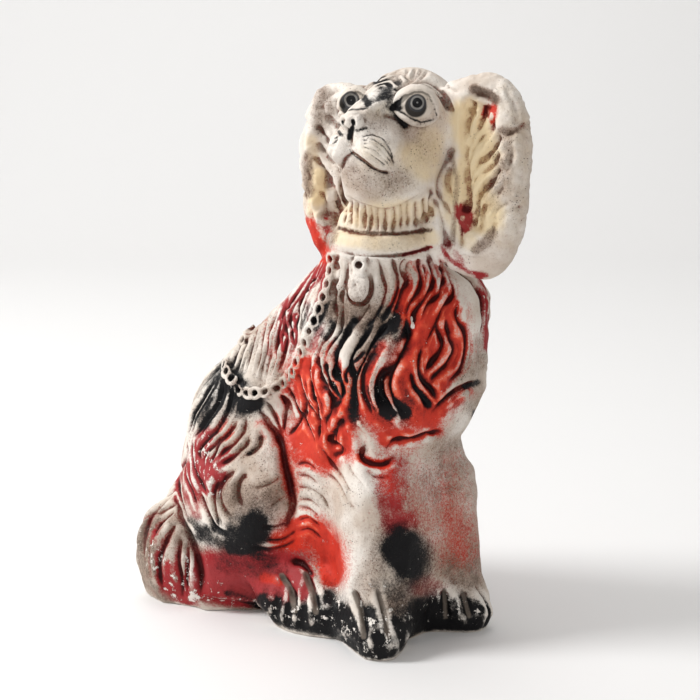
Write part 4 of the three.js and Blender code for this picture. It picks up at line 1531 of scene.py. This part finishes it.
@dataclass
class FarSide:
    """The plainer finish of the back and the far flank."""

    spacing: float = 9.5
    # Rows of locks: top and bottom in per cent of the height, first and last in degrees.
    rows: tuple[tuple[float, float, float, float], ...] = (
        (69, 55, 108, 262), (59, 43, 112, 284), (46, 32, 122, 290), (35, 20, 140, 292),
    )
    toes: tuple[float, ...] = (104, 112, 120, 163, 172, 181)

    # Paint on the hidden side, in keeping with the side that is seen: places, radius and strength.
    painted: ClassVar[Strokes] = {
        Paint.SCARLET: (
            (((150, 60), (165, 48), (150, 38)), 24, 0.9), (((-170, 64), (-160, 54)), 16, 0.7),
            (((120, 64), (128, 52)), 14, 0.6), (((165, 22), (150, 16)), 22, 0.8), (((150, 75), (215, 75)), 12, 0.45),
        ),
        Paint.CRIMSON: (
            (((-150, 36), (-140, 26)), 22, 0.85), (((-120, 12), (-105, 8)), 24, 0.6),
            (((-178, 10), (-160, 5)), 24, 0.75), (((140, 30), (135, 22)), 20, 0.45),
            (((-70, 62), (-88, 58), (-112, 62)), 14, 0.6), (((-78, 34), (-88, 24)), 16, 0.5),
        ),
        Paint.BLACK: (
            (((178, 62), (172, 48)), 13, 0.8), (((138, 56), (132, 44)), 12, 0.75), (((-165, 20), (-150, 15)), 22, 0.95),
            (((-80, 46), (-96, 42), (-112, 36)), 17, 0.75), (((170, 3), (150, 3), (125, 3), (105, 3)), 12, 0.95),
            (((124, 19), (126, 14)), 16, 0.9), (((182, 94), (180, 88)), 12, 0.35),
        ),
        Paint.GRIME: (
            (((-95, 66), (-100, 40), (-90, 10)), 46, 0.4), (((180, 66), (175, 40), (170, 8)), 60, 0.4),
            (((130, 40), (128, 8)), 34, 0.45), (((140, 88), (180, 84), (225, 88)), 40, 0.35),
        ),
        Paint.CREAM: (
            (((150, 90), (152, 78)), 20, 0.4),
        ),
        Paint.CHIPS: (
            (((-160, 10), (-110, 6), (140, 4)), 30, 0.9),
        ),
    }

    def patches(self) -> list[Patch]:
        """Every patch of paint."""
        return [Patch(paint, *run) for paint, runs in self.painted.items() for run in runs]

    def falls(self) -> list[tuple[tuple[Point, ...], float, float]]:
        """Grooves round the hidden side: places, half width and depth in millimetres."""
        cuts = []
        for row, (top, bottom, first, last) in enumerate(self.rows):
            for index in range(int((last - first) / self.spacing)):
                seed = index * 2.4 + row * 1.7
                angle = first + (index + 0.5 * (row % 2)) * self.spacing + 2.2 * math.sin(seed)
                lean = 3.0 + 4.5 * math.sin(seed * 0.7)
                high, fall = top + 2.5 * math.sin(seed * 1.9), bottom - top
                run = ((0.0, 0.0), (lean, 0.35), (-lean * 0.5, 0.7), (lean * 0.7, 1.0))
                places = tuple((angle + aside, high + fall * share) for aside, share in run)
                cuts.append((places, 2.9 + 0.7 * math.sin(seed * 1.3), 1.5 + 0.5 * math.sin(seed)))
        for index in range(14):
            angle = 124 + index * self.spacing * 0.9
            lean = 2.0 + 3.0 * math.sin(index * 1.7)
            crown = 96 - 2.0 * math.sin(index * 2.3)
            cuts.append((((angle, crown), (angle + lean, 89), (angle - lean, 81), (angle, 74)), 3.0, 1.5))
        for index in range(7):
            angle = 240 + index * 8.0
            cuts.append((((angle + 5, 21), (angle - 1, 13), (angle + 2, 7), (angle, 1.5)), 3.2, 1.8))
        cuts.append((((152, 46), (141, 36), (138, 22), (146, 9)), 4.2, 2.6))
        for angle in self.toes:
            cuts.append((((angle, 9), (angle + 1, 5), (angle + 1, 1)), 3.0, 2.4))
        return cuts


@dataclass
class Cast:
    """The whole figure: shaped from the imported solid, carved, thinned and painted.

    Pairs are heights in millimetres over which a smoothing sets in or ends.
    """

    coarse_voxel: float = 1.5 * MM
    fine_voxel: float = 0.62 * MM
    quick_voxel: float = 1.1 * MM
    triangles: int = 196_000
    weighting: float = 3.0
    hollow_rounds: int = 14
    swell: float = 9.0
    grit: float = 2.4
    coat_starts: Point = (12, 30)
    coat_ends: Point = (236, 244)
    body_ends: Point = (228, 240)
    chain: Chain = field(default_factory=Chain)
    quick: bool = field(default_factory=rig.quick)

    def __post_init__(self) -> None:
        if self.quick:
            self.fine_voxel = self.quick_voxel

    def remeshed(self, form: bmesh.types.BMesh, voxel: float) -> bpy.types.Mesh:
        """Presses a form into one even skin.

        Args:
            form: closed pieces that may overlap.
            voxel: the size of the new faces.

        Returns:
            The new mesh.
        """
        rough = bpy.data.meshes.new("rough")
        form.to_mesh(rough)
        form.free()
        stand = placed("rough", rough)
        press = stand.modifiers.new("press", "REMESH")
        press.mode = "VOXEL"
        press.voxel_size = voxel
        mesh = evaluated(stand)
        bpy.data.meshes.remove(rough)
        return mesh

    def base(self) -> Skin:
        """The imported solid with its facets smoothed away."""
        form = bmesh.new()
        form.from_mesh(frame["nodes"]["spaniel"].data)
        bmesh.ops.remove_doubles(form, verts=form.verts, dist=0.01 * MM)
        bmesh.ops.recalc_face_normals(form, faces=form.faces)
        skin = Skin(self.remeshed(form, self.coarse_voxel))
        places = skin.places / MM
        coat = eased(places[:, 2], *self.coat_starts) * (1 - eased(places[:, 2], *self.coat_ends))
        skin.smooth(7, 1.0)
        skin.smooth(14, 1 - eased(places[:, 2], *self.body_ends), 0.53)
        skin.smooth(26, coat, 0.5)
        skin.places[:, 2] = np.maximum(skin.places[:, 2], 0.0)
        skin.write()
        return skin

    def trimmed(self, base: Skin) -> Skin:
        """The base with the collar, padlock, chain and ear fillings pressed on.

        Args:
            base: the smoothed skin.

        Returns:
            The finer skin.
        """
        carver = Carver(base)
        form = bmesh.new()
        links = self.chain.build(form, carver)
        Collar().build(form)
        Padlock().build(form, carver.tree)
        Fillings().build(form)
        bmesh.ops.recalc_face_normals(form, faces=form.faces)
        form.from_mesh(base.mesh)
        LOG.info("chain: %d links", links)
        skin = Skin(self.remeshed(form, self.fine_voxel))
        skin.smooth(1 if self.quick else 3, 1.0, 0.3)
        return skin

    def carve(self, skin: Skin) -> np.ndarray:
        """Shapes the head and cuts the coat.

        Args:
            skin: the fine skin.

        Returns:
            How deep each vertex was cut, in millimetres.
        """
        relief = HeadRelief(skin, skin.facing())
        Ears().shape(relief)
        face = Face()
        face.shape(relief)
        face.lids(relief)
        skin.write()
        carver = Carver(skin)
        for groove in Coat.all() + Ruff().grooves() + Padlock().grooves():
            carver.groove(groove)
        for place, ahead in self.chain.centres:
            ends = [np.array(place + ahead * side * MM) for side in (-0.9, 0.9)]
            carver.along(ends, 1.25, 2.4)
        self.roughened(skin)
        for cuts, width, depth in FarSide().falls():
            places = []
            for point in curve_through(cuts, 0.8):
                hit, _ = round_body(carver.tree, *point)
                if hit is not None:
                    places.append(np.array(hit))
            carver.along(places, width, depth)
        carver.finish()
        skin.smooth(1, 1.0, 0.0)
        skin.places[:, 2] = np.maximum(skin.places[:, 2], 0.0)
        skin.write()
        return np.maximum(relief.cut, carver.cut / MM)

    def roughened(self, skin: Skin) -> None:
        """Adds the unevenness of a hand-cast surface, strongest on the ears.

        Args:
            skin: the fine skin.
        """
        facing = skin.facing()
        places = skin.places / MM
        ears = eased(places[:, 2], 215, 235) * eased(np.abs(places[:, 0] - HEAD_MIDDLE), 34, 42)
        swell = np.array([noise.noise(Vector(place) / self.swell) for place in places])
        fine = np.array([noise.noise(Vector(place) / self.grit) for place in places])
        face = eased(places[:, 2], 240, 260) * (1 - ears)
        amount = (swell * (0.45 + 0.7 * ears) + fine * (0.18 + 0.5 * ears)) * (1 - 0.6 * face)
        skin.places += facing * (amount * MM)[:, None]

    def thinned(self, skin: Skin) -> bpy.types.Mesh:
        """The carved skin with fewer faces, kept finest on the face and the seen side.

        Args:
            skin: the carved skin.

        Returns:
            The thinned mesh.
        """
        stand = placed("dense", skin.mesh)
        places = skin.places / MM
        shown = eased(CAMERA.faced(skin.places, skin.facing()), -0.3, 0.1)
        face = eased(places[:, 2], 252, 262) * (1 - eased(places[:, 1], -24, -12)) * shown
        group = stand.vertex_groups.new(name="fine")
        levels = np.clip(np.round((0.45 * shown + 0.5 * face) * 10) / 10, 0.0, 0.95)
        for level in np.unique(levels):
            group.add(np.nonzero(levels == level)[0].tolist(), float(1 - level), "REPLACE")
        thin = stand.modifiers.new("thin", "DECIMATE")
        thin.ratio = min(1.0, self.triangles / (len(skin.mesh.polygons) * 2))
        thin.vertex_group = "fine"
        thin.vertex_group_factor = self.weighting
        return evaluated(stand)

    def stored(self, skin: Skin, cut: np.ndarray, mesh: bpy.types.Mesh) -> None:
        """Stores how hollow and how deeply cut each vertex of the thinned mesh is.

        Args:
            skin: the carved skin.
            cut: how deep each of its vertices was cut, in millimetres.
            mesh: the thinned mesh.
        """
        facing = skin.facing()
        near = skin.places.copy()
        for _ in range(self.hollow_rounds):
            near = skin.spread(near)
        hollow = ((near - skin.places) * facing).sum(1) / MM
        depth = cut
        for _ in range(3):
            hollow, depth = skin.spread(hollow), skin.spread(depth)
        find = KDTree(len(skin.places))
        for index, place in enumerate(skin.places):
            find.insert(place, index)
        find.balance()
        pairs = [find.find(vertex.co)[1] for vertex in mesh.vertices]
        for name, values in (("hollow", hollow), ("cut", depth)):
            store(mesh, name, values[pairs])

    def paint(self, mesh: bpy.types.Mesh) -> None:
        """Stores each paint as an attribute of the skin.

        Args:
            mesh: the finished mesh.
        """
        skin = Skin(mesh)
        seen = eased(CAMERA.faced(skin.places, skin.facing()), -0.12, 0.12)
        pixels = CAMERA.project(skin.places)
        coats = {paint: np.zeros(len(skin.places)) for paint in Paint}
        for spray in Sprays.all():
            enlargement = spray.sheet.value[2]
            line = np.array([to_photo(spray.sheet, point) for point in spray.points])
            radius = spray.radius / enlargement
            away = line_distance(pixels, line)
            core = 1 - eased(away, radius * 0.35, radius * 1.35)
            mist = 1 - eased(away, radius * 0.8, radius * 1.2 + min(14.0, radius * 1.2))
            cover = spray.strength * np.maximum(core, 0.32 * mist * (spray.paint in MISTED)) * seen
            coats[spray.paint] = 1 - (1 - coats[spray.paint]) * (1 - cover)
        tree = skin.tree()
        for patch in FarSide().patches():
            line = np.array([np.array(round_body(tree, *at)[0]) for at in patch.at])
            radius = patch.radius * MM
            cover = patch.strength * (1 - eased(line_distance(skin.places, line), radius * 0.3, radius * 1.5))
            coats[patch.paint] = 1 - (1 - coats[patch.paint]) * (1 - cover * (1 - seen))
        for paint, cover in coats.items():
            store(mesh, paint.value, cover)

    def build(self) -> bpy.types.Object:
        """Makes the figure.

        Returns:
            The finished object.
        """
        base = self.base()
        LOG.info("base: %d vertices", len(base.places))
        skin = self.trimmed(base)
        LOG.info("trimmed: %d vertices", len(skin.places))
        cut = self.carve(skin)
        LOG.info("carved")
        mesh = self.thinned(skin)
        LOG.info("thinned: %d faces", len(mesh.polygons))
        self.stored(skin, cut, mesh)
        self.paint(mesh)
        LOG.info("painted")
        mesh.name = "spaniel_cast"
        mesh.polygons.foreach_set("use_smooth", np.ones(len(mesh.polygons), bool))
        return placed("spaniel_cast", mesh)


def line_distance(spots: np.ndarray, line: np.ndarray) -> np.ndarray:
    """How far places are from a line of points.

    Args:
        spots: the places.
        line: the line's points.

    Returns:
        The distance of each place.
    """
    best = np.linalg.norm(spots - line[0], axis=1)
    for index in range(len(line) - 1):
        start, step = line[index], line[index + 1] - line[index]
        at = np.clip((spots - start) @ step / max(float(step @ step), 1e-18), 0, 1)
        best = np.minimum(best, np.linalg.norm(spots - start - at[:, None] * step, axis=1))
    return best


class Shade:
    """A socket of a material, with arithmetic that adds its Math nodes."""

    def __init__(self, tree: "Nodes", socket: bpy.types.NodeSocket) -> None:
        """Wraps a socket.

        Args:
            tree: the material's nodes.
            socket: the output socket.
        """
        self.tree = tree
        self.socket = socket

    def math(self, operation: str, *others: "Shade | float", first: "Shade | float | None" = None) -> "Shade":
        """One Math node.

        Args:
            operation: the node's operation.
            others: the values after the first.
            first: a value that comes before this one.

        Returns:
            The node's output.
        """
        values = ([first, self] if first is not None else [self]) + list(others)
        return self.tree.add("ShaderNodeMath", {"operation": operation}, dict(enumerate(values)))

    def __add__(self, other: "Shade | float") -> "Shade":
        """Sum."""
        return self.math("ADD", other)

    __radd__ = __add__

    def __sub__(self, other: "Shade | float") -> "Shade":
        """Difference."""
        return self.math("SUBTRACT", other)

    def __rsub__(self, other: float) -> "Shade":
        """Difference from a number."""
        return self.math("SUBTRACT", first=other)

    def __mul__(self, other: "Shade | float") -> "Shade":
        """Product."""
        return self.math("MULTIPLY", other)

    __rmul__ = __mul__

    def step(self, start: float, end: float) -> "Shade":
        """A soft step from 0 at start to 1 at end."""
        return self.tree.add(
            "ShaderNodeMapRange",
            {"interpolation_type": "SMOOTHSTEP", "clamp": True},
            {"Value": self, "From Min": start, "From Max": end},
        )

    def most(self, other: "Shade | float") -> "Shade":
        """The larger of two values."""
        return self.math("MAXIMUM", other)

    def least(self, other: "Shade | float") -> "Shade":
        """The smaller of two values."""
        return self.math("MINIMUM", other)


class Nodes:
    """Makes the nodes of one material."""

    def __init__(self, material: bpy.types.Material) -> None:
        """Clears the material.

        Args:
            material: the material to fill.
        """
        material.use_nodes = True
        self.tree = material.node_tree
        self.tree.nodes.clear()

    def add(self, kind: str, settings: dict | None = None, inputs: dict | None = None, out: int | str = 0) -> Shade:
        """Adds a node.

        Args:
            kind: the node's type.
            settings: the node's own settings, set first.
            inputs: values or links of its sockets, by name or number.
            out: the output that is returned.

        Returns:
            The output socket.
        """
        node = self.tree.nodes.new(kind)
        for name, value in (settings or {}).items():
            setattr(node, name, value)
        for name, value in (inputs or {}).items():
            socket = node.inputs[name]
            if isinstance(value, Shade):
                self.tree.links.new(value.socket, socket)
            elif isinstance(value, tuple) and len(value) == 3 and socket.type == "RGBA":
                socket.default_value = (*value, 1.0)
            else:
                socket.default_value = value
        return Shade(self, node.outputs[out] if len(node.outputs) else None)

    def attribute(self, name: str) -> Shade:
        """A stored value of the skin."""
        return self.add("ShaderNodeAttribute", {"attribute_name": name}, out="Fac")

    def noise(self, place: Shade, scale: float, detail: float = 3.0, rough: float = 0.55) -> Shade:
        """Cloudy noise, 0 to 1.

        Args:
            place: the coordinates.
            scale: the number of clouds in a metre.
            detail: how many finer layers.
            rough: how strong they are.

        Returns:
            The noise.
        """
        return self.add(
            "ShaderNodeTexNoise", {}, {"Vector": place, "Scale": scale, "Detail": detail, "Roughness": rough}, "Fac"
        )

    def blend(self, share: Shade | float, start: Shade | Colour, end: Shade | Colour) -> Shade:
        """A mix of two colours.

        Args:
            share: how much of the second shows.
            start: the first colour.
            end: the second colour.

        Returns:
            The mixed colour.
        """
        return self.add("ShaderNodeMix", {"data_type": "RGBA"}, {0: share, 6: start, 7: end}, 2)

    def finish(self, shader: Shade) -> None:
        """Links the shader to the material's output."""
        self.add("ShaderNodeOutputMaterial", inputs={"Surface": shader})


@dataclass(frozen=True)
class PlasterPaint:
    """The painted plaster's finish: its colours, how they wear, and the painted shade and highlights put into its
    colour.
    """

    white: Colour = (0.57, 0.48, 0.40)
    chalk: Colour = (0.82, 0.77, 0.71)
    shadow: Colour = (0.19, 0.125, 0.085)
    tan: Colour = (0.25, 0.155, 0.105)
    # Darkest brown: grime in stains and pits, and the painted shade deepest in the grooves.
    dirt_and_shade: Colour = (0.050, 0.030, 0.020)
    cream: Colour = (0.84, 0.68, 0.42)
    # Golden brown painted in the grooves of the cream: painted shade.
    cream_in_shade: Colour = (0.42, 0.25, 0.10)
    scarlet: Colour = (0.56, 0.024, 0.008)
    # A warmer red for the painted highlight on raised ridges of the red.
    orange_highlight: Colour = (0.84, 0.11, 0.042)
    crimson: Colour = (0.31, 0.010, 0.016)
    black: Colour = (0.004, 0.004, 0.005)
    # Darker reds: the first for random tone and painted shade, the second for painted shade in the red's grooves.
    deep_red: Colour = (0.19, 0.006, 0.006)
    red_in_shade: Colour = (0.035, 0.002, 0.002)
    bare: Colour = (0.17, 0.14, 0.115)
    eyeball: Colour = (0.62, 0.55, 0.46)
    # The eye's rings: where each ends in millimetres, how well it covers, and its colour; the last, a grey dot in the
    # pupil, is a painted highlight.
    eye_rings: tuple[tuple[float, float, float, Colour], ...] = (
        (4.6, 5.1, 0.9, (0.045, 0.045, 0.048)),
        (3.5, 3.9, 0.9, (0.24, 0.23, 0.215)),
        (2.5, 2.9, 1.0, (0.012, 0.012, 0.013)),
        (0.4, 0.7, 0.7, (0.30, 0.30, 0.29)),
    )
    # Clouds, specks, flakes, pores and hairs in a metre.
    clouds: float = 30.0
    patches: float = 80.0
    mottles: float = 170.0
    flakes: float = 230.0
    hairs: float = 480.0
    pores: float = 650.0
    grains: float = 700.0
    specks: float = 1500.0
    sheen: float = 0.14
    bump: float = 0.75
    bump_height: float = 0.6 * MM

    def material(self) -> bpy.types.Material:
        """Builds the material.

        Returns:
            The finished material.
        """
        material = bpy.data.materials.new("painted_plaster")
        nodes = Nodes(material)
        place = nodes.add("ShaderNodeTexCoord", out="Object")
        cloud = nodes.noise(place, self.clouds, 3.0)
        mottle = nodes.noise(place, self.mottles, 4.0, 0.6)
        grain = nodes.noise(place, self.grains, 2.0, 0.6)
        speck = nodes.noise(place, self.specks, 2.0, 0.7)
        hollow = nodes.attribute("hollow")
        cut = nodes.attribute("cut")
        deep = hollow.step(0.0, 0.5)
        proud = (hollow * -1.0).step(0.03, 0.45)
        # The groove mask rises in cuts and hollows; the plaster is painted darker there, as painted shade mixed with
        # grime.
        groove = (cut * 0.26 + deep * 0.6 + (mottle - 0.5) * 0.35).step(0.14, 1.15)
        edge = (speck - 0.5) + (grain - 0.5) * 0.8

        colour = nodes.blend(cloud.step(0.35, 0.7), self.white, self.chalk)
        # Raised ridges are painted lighter: a painted highlight.
        colour = nodes.blend(proud * 0.4, colour, self.chalk)
        dust = (edge * 1.1 + (cloud - 0.5) * 0.9 + (mottle - 0.5) * 0.5).step(0.0, 0.7)
        colour = nodes.blend(dust * 0.45, colour, self.tan)
        # Painted shade in grooves and hollows, deepest with the darkest brown.
        colour = nodes.blend(groove * 0.72, colour, self.shadow)
        colour = nodes.blend(groove.step(0.55, 1.0) * 0.55, colour, self.dirt_and_shade)
        cream = (nodes.attribute("cream") + (mottle - 0.5) * 0.5).step(0.05, 0.9)
        # Cream, golden brown in its grooves as painted shade.
        colour = nodes.blend(cream * 0.86, colour, nodes.blend(groove * 0.75, self.cream, self.cream_in_shade))
        grime = nodes.attribute("grime")
        stained = (grime + edge * 0.9 + (mottle - 0.5) * 0.8 + deep * 0.4 - 0.25).step(0.08, 1.0)
        wash = (grime * 1.3 + edge * 0.35 + (mottle - 0.5) * 0.5 + deep * 0.25).step(0.05, 1.1)
        colour = nodes.blend(wash * grime.step(0.0, 0.2) * 0.75, colour, self.tan)
        colour = nodes.blend(stained * grime.step(0.02, 0.4) * 0.8, colour, self.dirt_and_shade)

        worn = proud * 0.78 + (mottle - 0.5) * 0.5 + (cloud - 0.5) * 0.2
        crimson = (nodes.attribute("crimson") * 1.25 + edge * 0.7 - worn + groove * 0.2).step(0.08, 0.85)
        colour = nodes.blend(crimson * 0.96, colour, self.crimson)
        scarlet = (nodes.attribute("scarlet") * 1.25 + edge * 0.85 - worn * 0.9 + groove * 0.2).step(0.08, 0.88)
        # Raised ridges of the red are painted warmer and lighter, a painted highlight mixed with random tone.
        ridge_highlight_and_tone = (proud * 0.7 + (cloud - 0.5) * 0.8 + (mottle - 0.5) * 0.6).step(0.0, 0.7)
        colour = nodes.blend(scarlet * 0.97, colour, nodes.blend(ridge_highlight_and_tone, self.scarlet, self.orange_highlight))
        red = scarlet.most(crimson)
        # The red is darkened by random tone and by painted shade in grooves, and kept lighter on ridges; its grooves
        # get the deepest painted shade.
        shade = (0.55 - cloud + groove * 0.5 + (0.5 - mottle) * 0.8 - proud * 0.3).step(0.0, 0.5)
        colour = nodes.blend(red * shade * 0.62, colour, self.deep_red)
        colour = nodes.blend(red * groove * 0.94, colour, self.red_in_shade)
        black = (nodes.attribute("black") * 1.2 + edge * 0.75 - worn * 1.2 + groove * 0.25).step(0.08, 0.95)
        colour = nodes.blend(black * 0.997, colour, self.black)
        bare = (nodes.attribute("bare") + edge * 0.4 + (mottle - 0.5) * 0.4).step(0.2, 0.9)
        colour = nodes.blend(bare * 0.85, colour, self.bare)

        painted = red.most(black)
        chips = nodes.attribute("chips")
        flakes = nodes.noise(place, self.flakes, 6.0, 0.7)
        chip = (flakes + proud * 0.04 + chips * 0.085).step(0.672, 0.692) * painted.most(chips)
        chip = chip.most((nodes.attribute("chalk") + (flakes - 0.5) * 1.6 + edge * 0.3).step(0.62, 0.72))
        colour = nodes.blend(chip * 0.92, colour, self.chalk)

        colour = self.eyes(nodes, place, colour)

        pores = nodes.add("ShaderNodeTexVoronoi", {"feature": "F1"}, {"Vector": place, "Scale": self.pores}, "Distance")
        rich = (nodes.noise(place, self.patches, 2.0) + groove * 0.12 + grime * 0.35).step(0.56, 0.70)
        pit = (1.0 - pores.step(0.12, 0.24)) * rich
        colour = nodes.blend(pit * (0.9 - painted * 0.6), colour, self.dirt_and_shade)

        rough = 0.8 - painted * 0.26 + (mottle - 0.5) * 0.25 + chip * 0.2
        drawn = nodes.add("ShaderNodeMapping", {}, {"Vector": place, "Scale": (1.0, 1.0, 0.22)})
        hairs = nodes.noise(drawn, self.hairs, 2.0)
        height = grain * 0.35 + mottle * 0.7 + hairs * 0.7 - pit * 0.9 - chip * 0.6 + painted * 0.15
        raised = {"Strength": self.bump, "Distance": self.bump_height, "Height": height}
        bump = nodes.add("ShaderNodeBump", {}, raised, "Normal")
        shader = nodes.add(
            "ShaderNodeBsdfPrincipled",
            {},
            {"Base Color": colour, "Roughness": rough, "Normal": bump, "Specular IOR Level": self.sheen},
            "BSDF",
        )
        nodes.finish(shader)
        return material

    def eyes(self, nodes: Nodes, place: Shade, colour: Shade) -> Shade:
        """Paints the rings of the two eyes, a painted shadow under each iris and a painted highlight in each pupil.

        Args:
            nodes: the material's nodes.
            place: the coordinates.
            colour: the colour so far.

        Returns:
            The colour with the eyes.
        """
        iris, shadow_below = [], []
        for front in Face.fronts:
            for found, drop in ((iris, 0.0), (shadow_below, 2.0)):
                spot = ((front[0] - 0.5 * drop) * MM, front[1] * MM, (front[2] - drop) * MM)
                found.append(
                    nodes.add("ShaderNodeVectorMath", {"operation": "DISTANCE"}, {0: place, 1: spot}, "Value") * 1000.0
                )
        away = iris[0].least(iris[1])
        low = shadow_below[0].least(shadow_below[1])
        white = 1.0 - away.step(8.0, 9.5)
        colour = nodes.blend(white * 0.35, colour, self.eyeball)
        # A black disc a little under each iris: a painted shadow.
        colour = nodes.blend((1.0 - low.step(5.2, 6.4)) * 0.95, colour, self.black)
        for start, end, cover, ring_colour in self.eye_rings:
            colour = nodes.blend((1.0 - away.step(start, end)) * cover, colour, ring_colour)
        return colour


@dataclass
class Studio:
    """The pale floor that curves up into the wall, and the soft light; sizes are in metres."""

    near: float = 1.6
    far: float = 2.1
    half: float = 3.2
    wall: float = 3.4
    curve: float = 0.7
    paper: Colour = (0.83, 0.825, 0.82)
    sky: Colour = (1.0, 0.985, 0.965)
    sky_strength: float = 0.42
    aim: Triple = (0.02, 0.0, 0.16)
    # Each lamp's name, place, aim, width and power in watts.
    lamps: tuple[tuple[str, Triple, Triple, float, float], ...] = (
        ("key", (-1.05, -1.0, 1.25), aim, 0.7, 29.0),
        ("top", (-0.3, -0.2, 1.9), aim, 1.4, 5.0),
        ("fill", (0.95, -1.15, 0.75), aim, 0.9, 3.0),
        ("wall", (-0.55, 0.75, 2.3), (-1.5, 1.5, 0.5), 1.5, 15.0),
    )

    def sweep(self) -> None:
        """Makes the floor and the wall in one sheet, square to the camera."""
        form = bmesh.new()
        corners = [form.verts.new((x, -self.near, 0)) for x in (-self.half, self.half)]
        edge = form.edges.new(corners)
        for step in ((0, self.near + self.far, 0), (0, 0, self.wall)):
            made = bmesh.ops.extrude_edge_only(form, edges=[edge])["geom"]
            verts = [item for item in made if isinstance(item, bmesh.types.BMVert)]
            bmesh.ops.translate(form, vec=step, verts=verts)
            edge = next(e for e in made if isinstance(e, bmesh.types.BMEdge) and set(e.verts) == set(verts))
        fold = [e for e in form.edges if all(v.co.y > 0 and v.co.z == 0 for v in e.verts)]
        bmesh.ops.bevel(form, geom=fold, offset=self.curve, segments=24, profile=0.5, affect="EDGES", material=-1)
        bmesh.ops.recalc_face_normals(form, faces=form.faces)
        mesh = bpy.data.meshes.new("studio_paper")
        form.to_mesh(mesh)
        form.free()
        mesh.polygons.foreach_set("use_smooth", np.ones(len(mesh.polygons), bool))
        sheet = placed("studio_paper", mesh)
        sheet.rotation_euler = (0, 0, math.radians(CAMERA.azimuth))
        material = bpy.data.materials.new("studio_paper")
        nodes = Nodes(material)
        nodes.finish(nodes.add("ShaderNodeBsdfPrincipled", {}, {"Base Color": self.paper, "Roughness": 0.9}, "BSDF"))
        mesh.materials.append(material)
        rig.stage(sheet)

    def lamp(self, name: str, place: Triple, aim: Triple, size: float, power: float) -> None:
        """Makes one soft lamp.

        Args:
            name: the lamp's name.
            place: where it hangs.
            aim: where it points.
            size: its width.
            power: its power in watts.
        """
        data = bpy.data.lights.new(name, "AREA")
        data.shape = "DISK"
        data.size = size
        data.energy = power
        lamp = placed(name, data)
        lamp.location = place
        lamp.rotation_euler = (Vector(aim) - Vector(place)).to_track_quat("-Z", "Y").to_euler()

    def build(self) -> None:
        """Makes the paper, the lamps and the surrounding light."""
        self.sweep()
        for lamp in self.lamps:
            self.lamp(*lamp)
        world = bpy.data.worlds.new("studio_air")
        world.use_nodes = True
        background = world.node_tree.nodes["Background"]
        background.inputs["Color"].default_value = (*self.sky, 1.0)
        background.inputs["Strength"].default_value = self.sky_strength
        bpy.context.scene.world = world
        bpy.context.scene.view_settings.view_transform = "Standard"


def main() -> None:
    """Builds the figure, the studio and the camera in order."""
    logging.basicConfig(level=logging.INFO, format="%(relativeCreated)d %(message)s")
    figure = Cast().build()
    figure.data.materials.clear()
    figure.data.materials.append(PlasterPaint().material())
    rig.ride(figure, "root")
    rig.replaces(figure, "spaniel")
    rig.slot(figure, "painted_plaster")
    LOG.info("figure: %d faces", len(figure.data.polygons))
    Studio().build()
    CAMERA.set_up()
    with open("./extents.json", "w", encoding="utf-8") as sizes:
        json.dump({"cad": [list(c) for c in CAD_BOX], "visual": [list(c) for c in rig.bounds()]}, sizes)


if __name__ == "__main__":
    main()
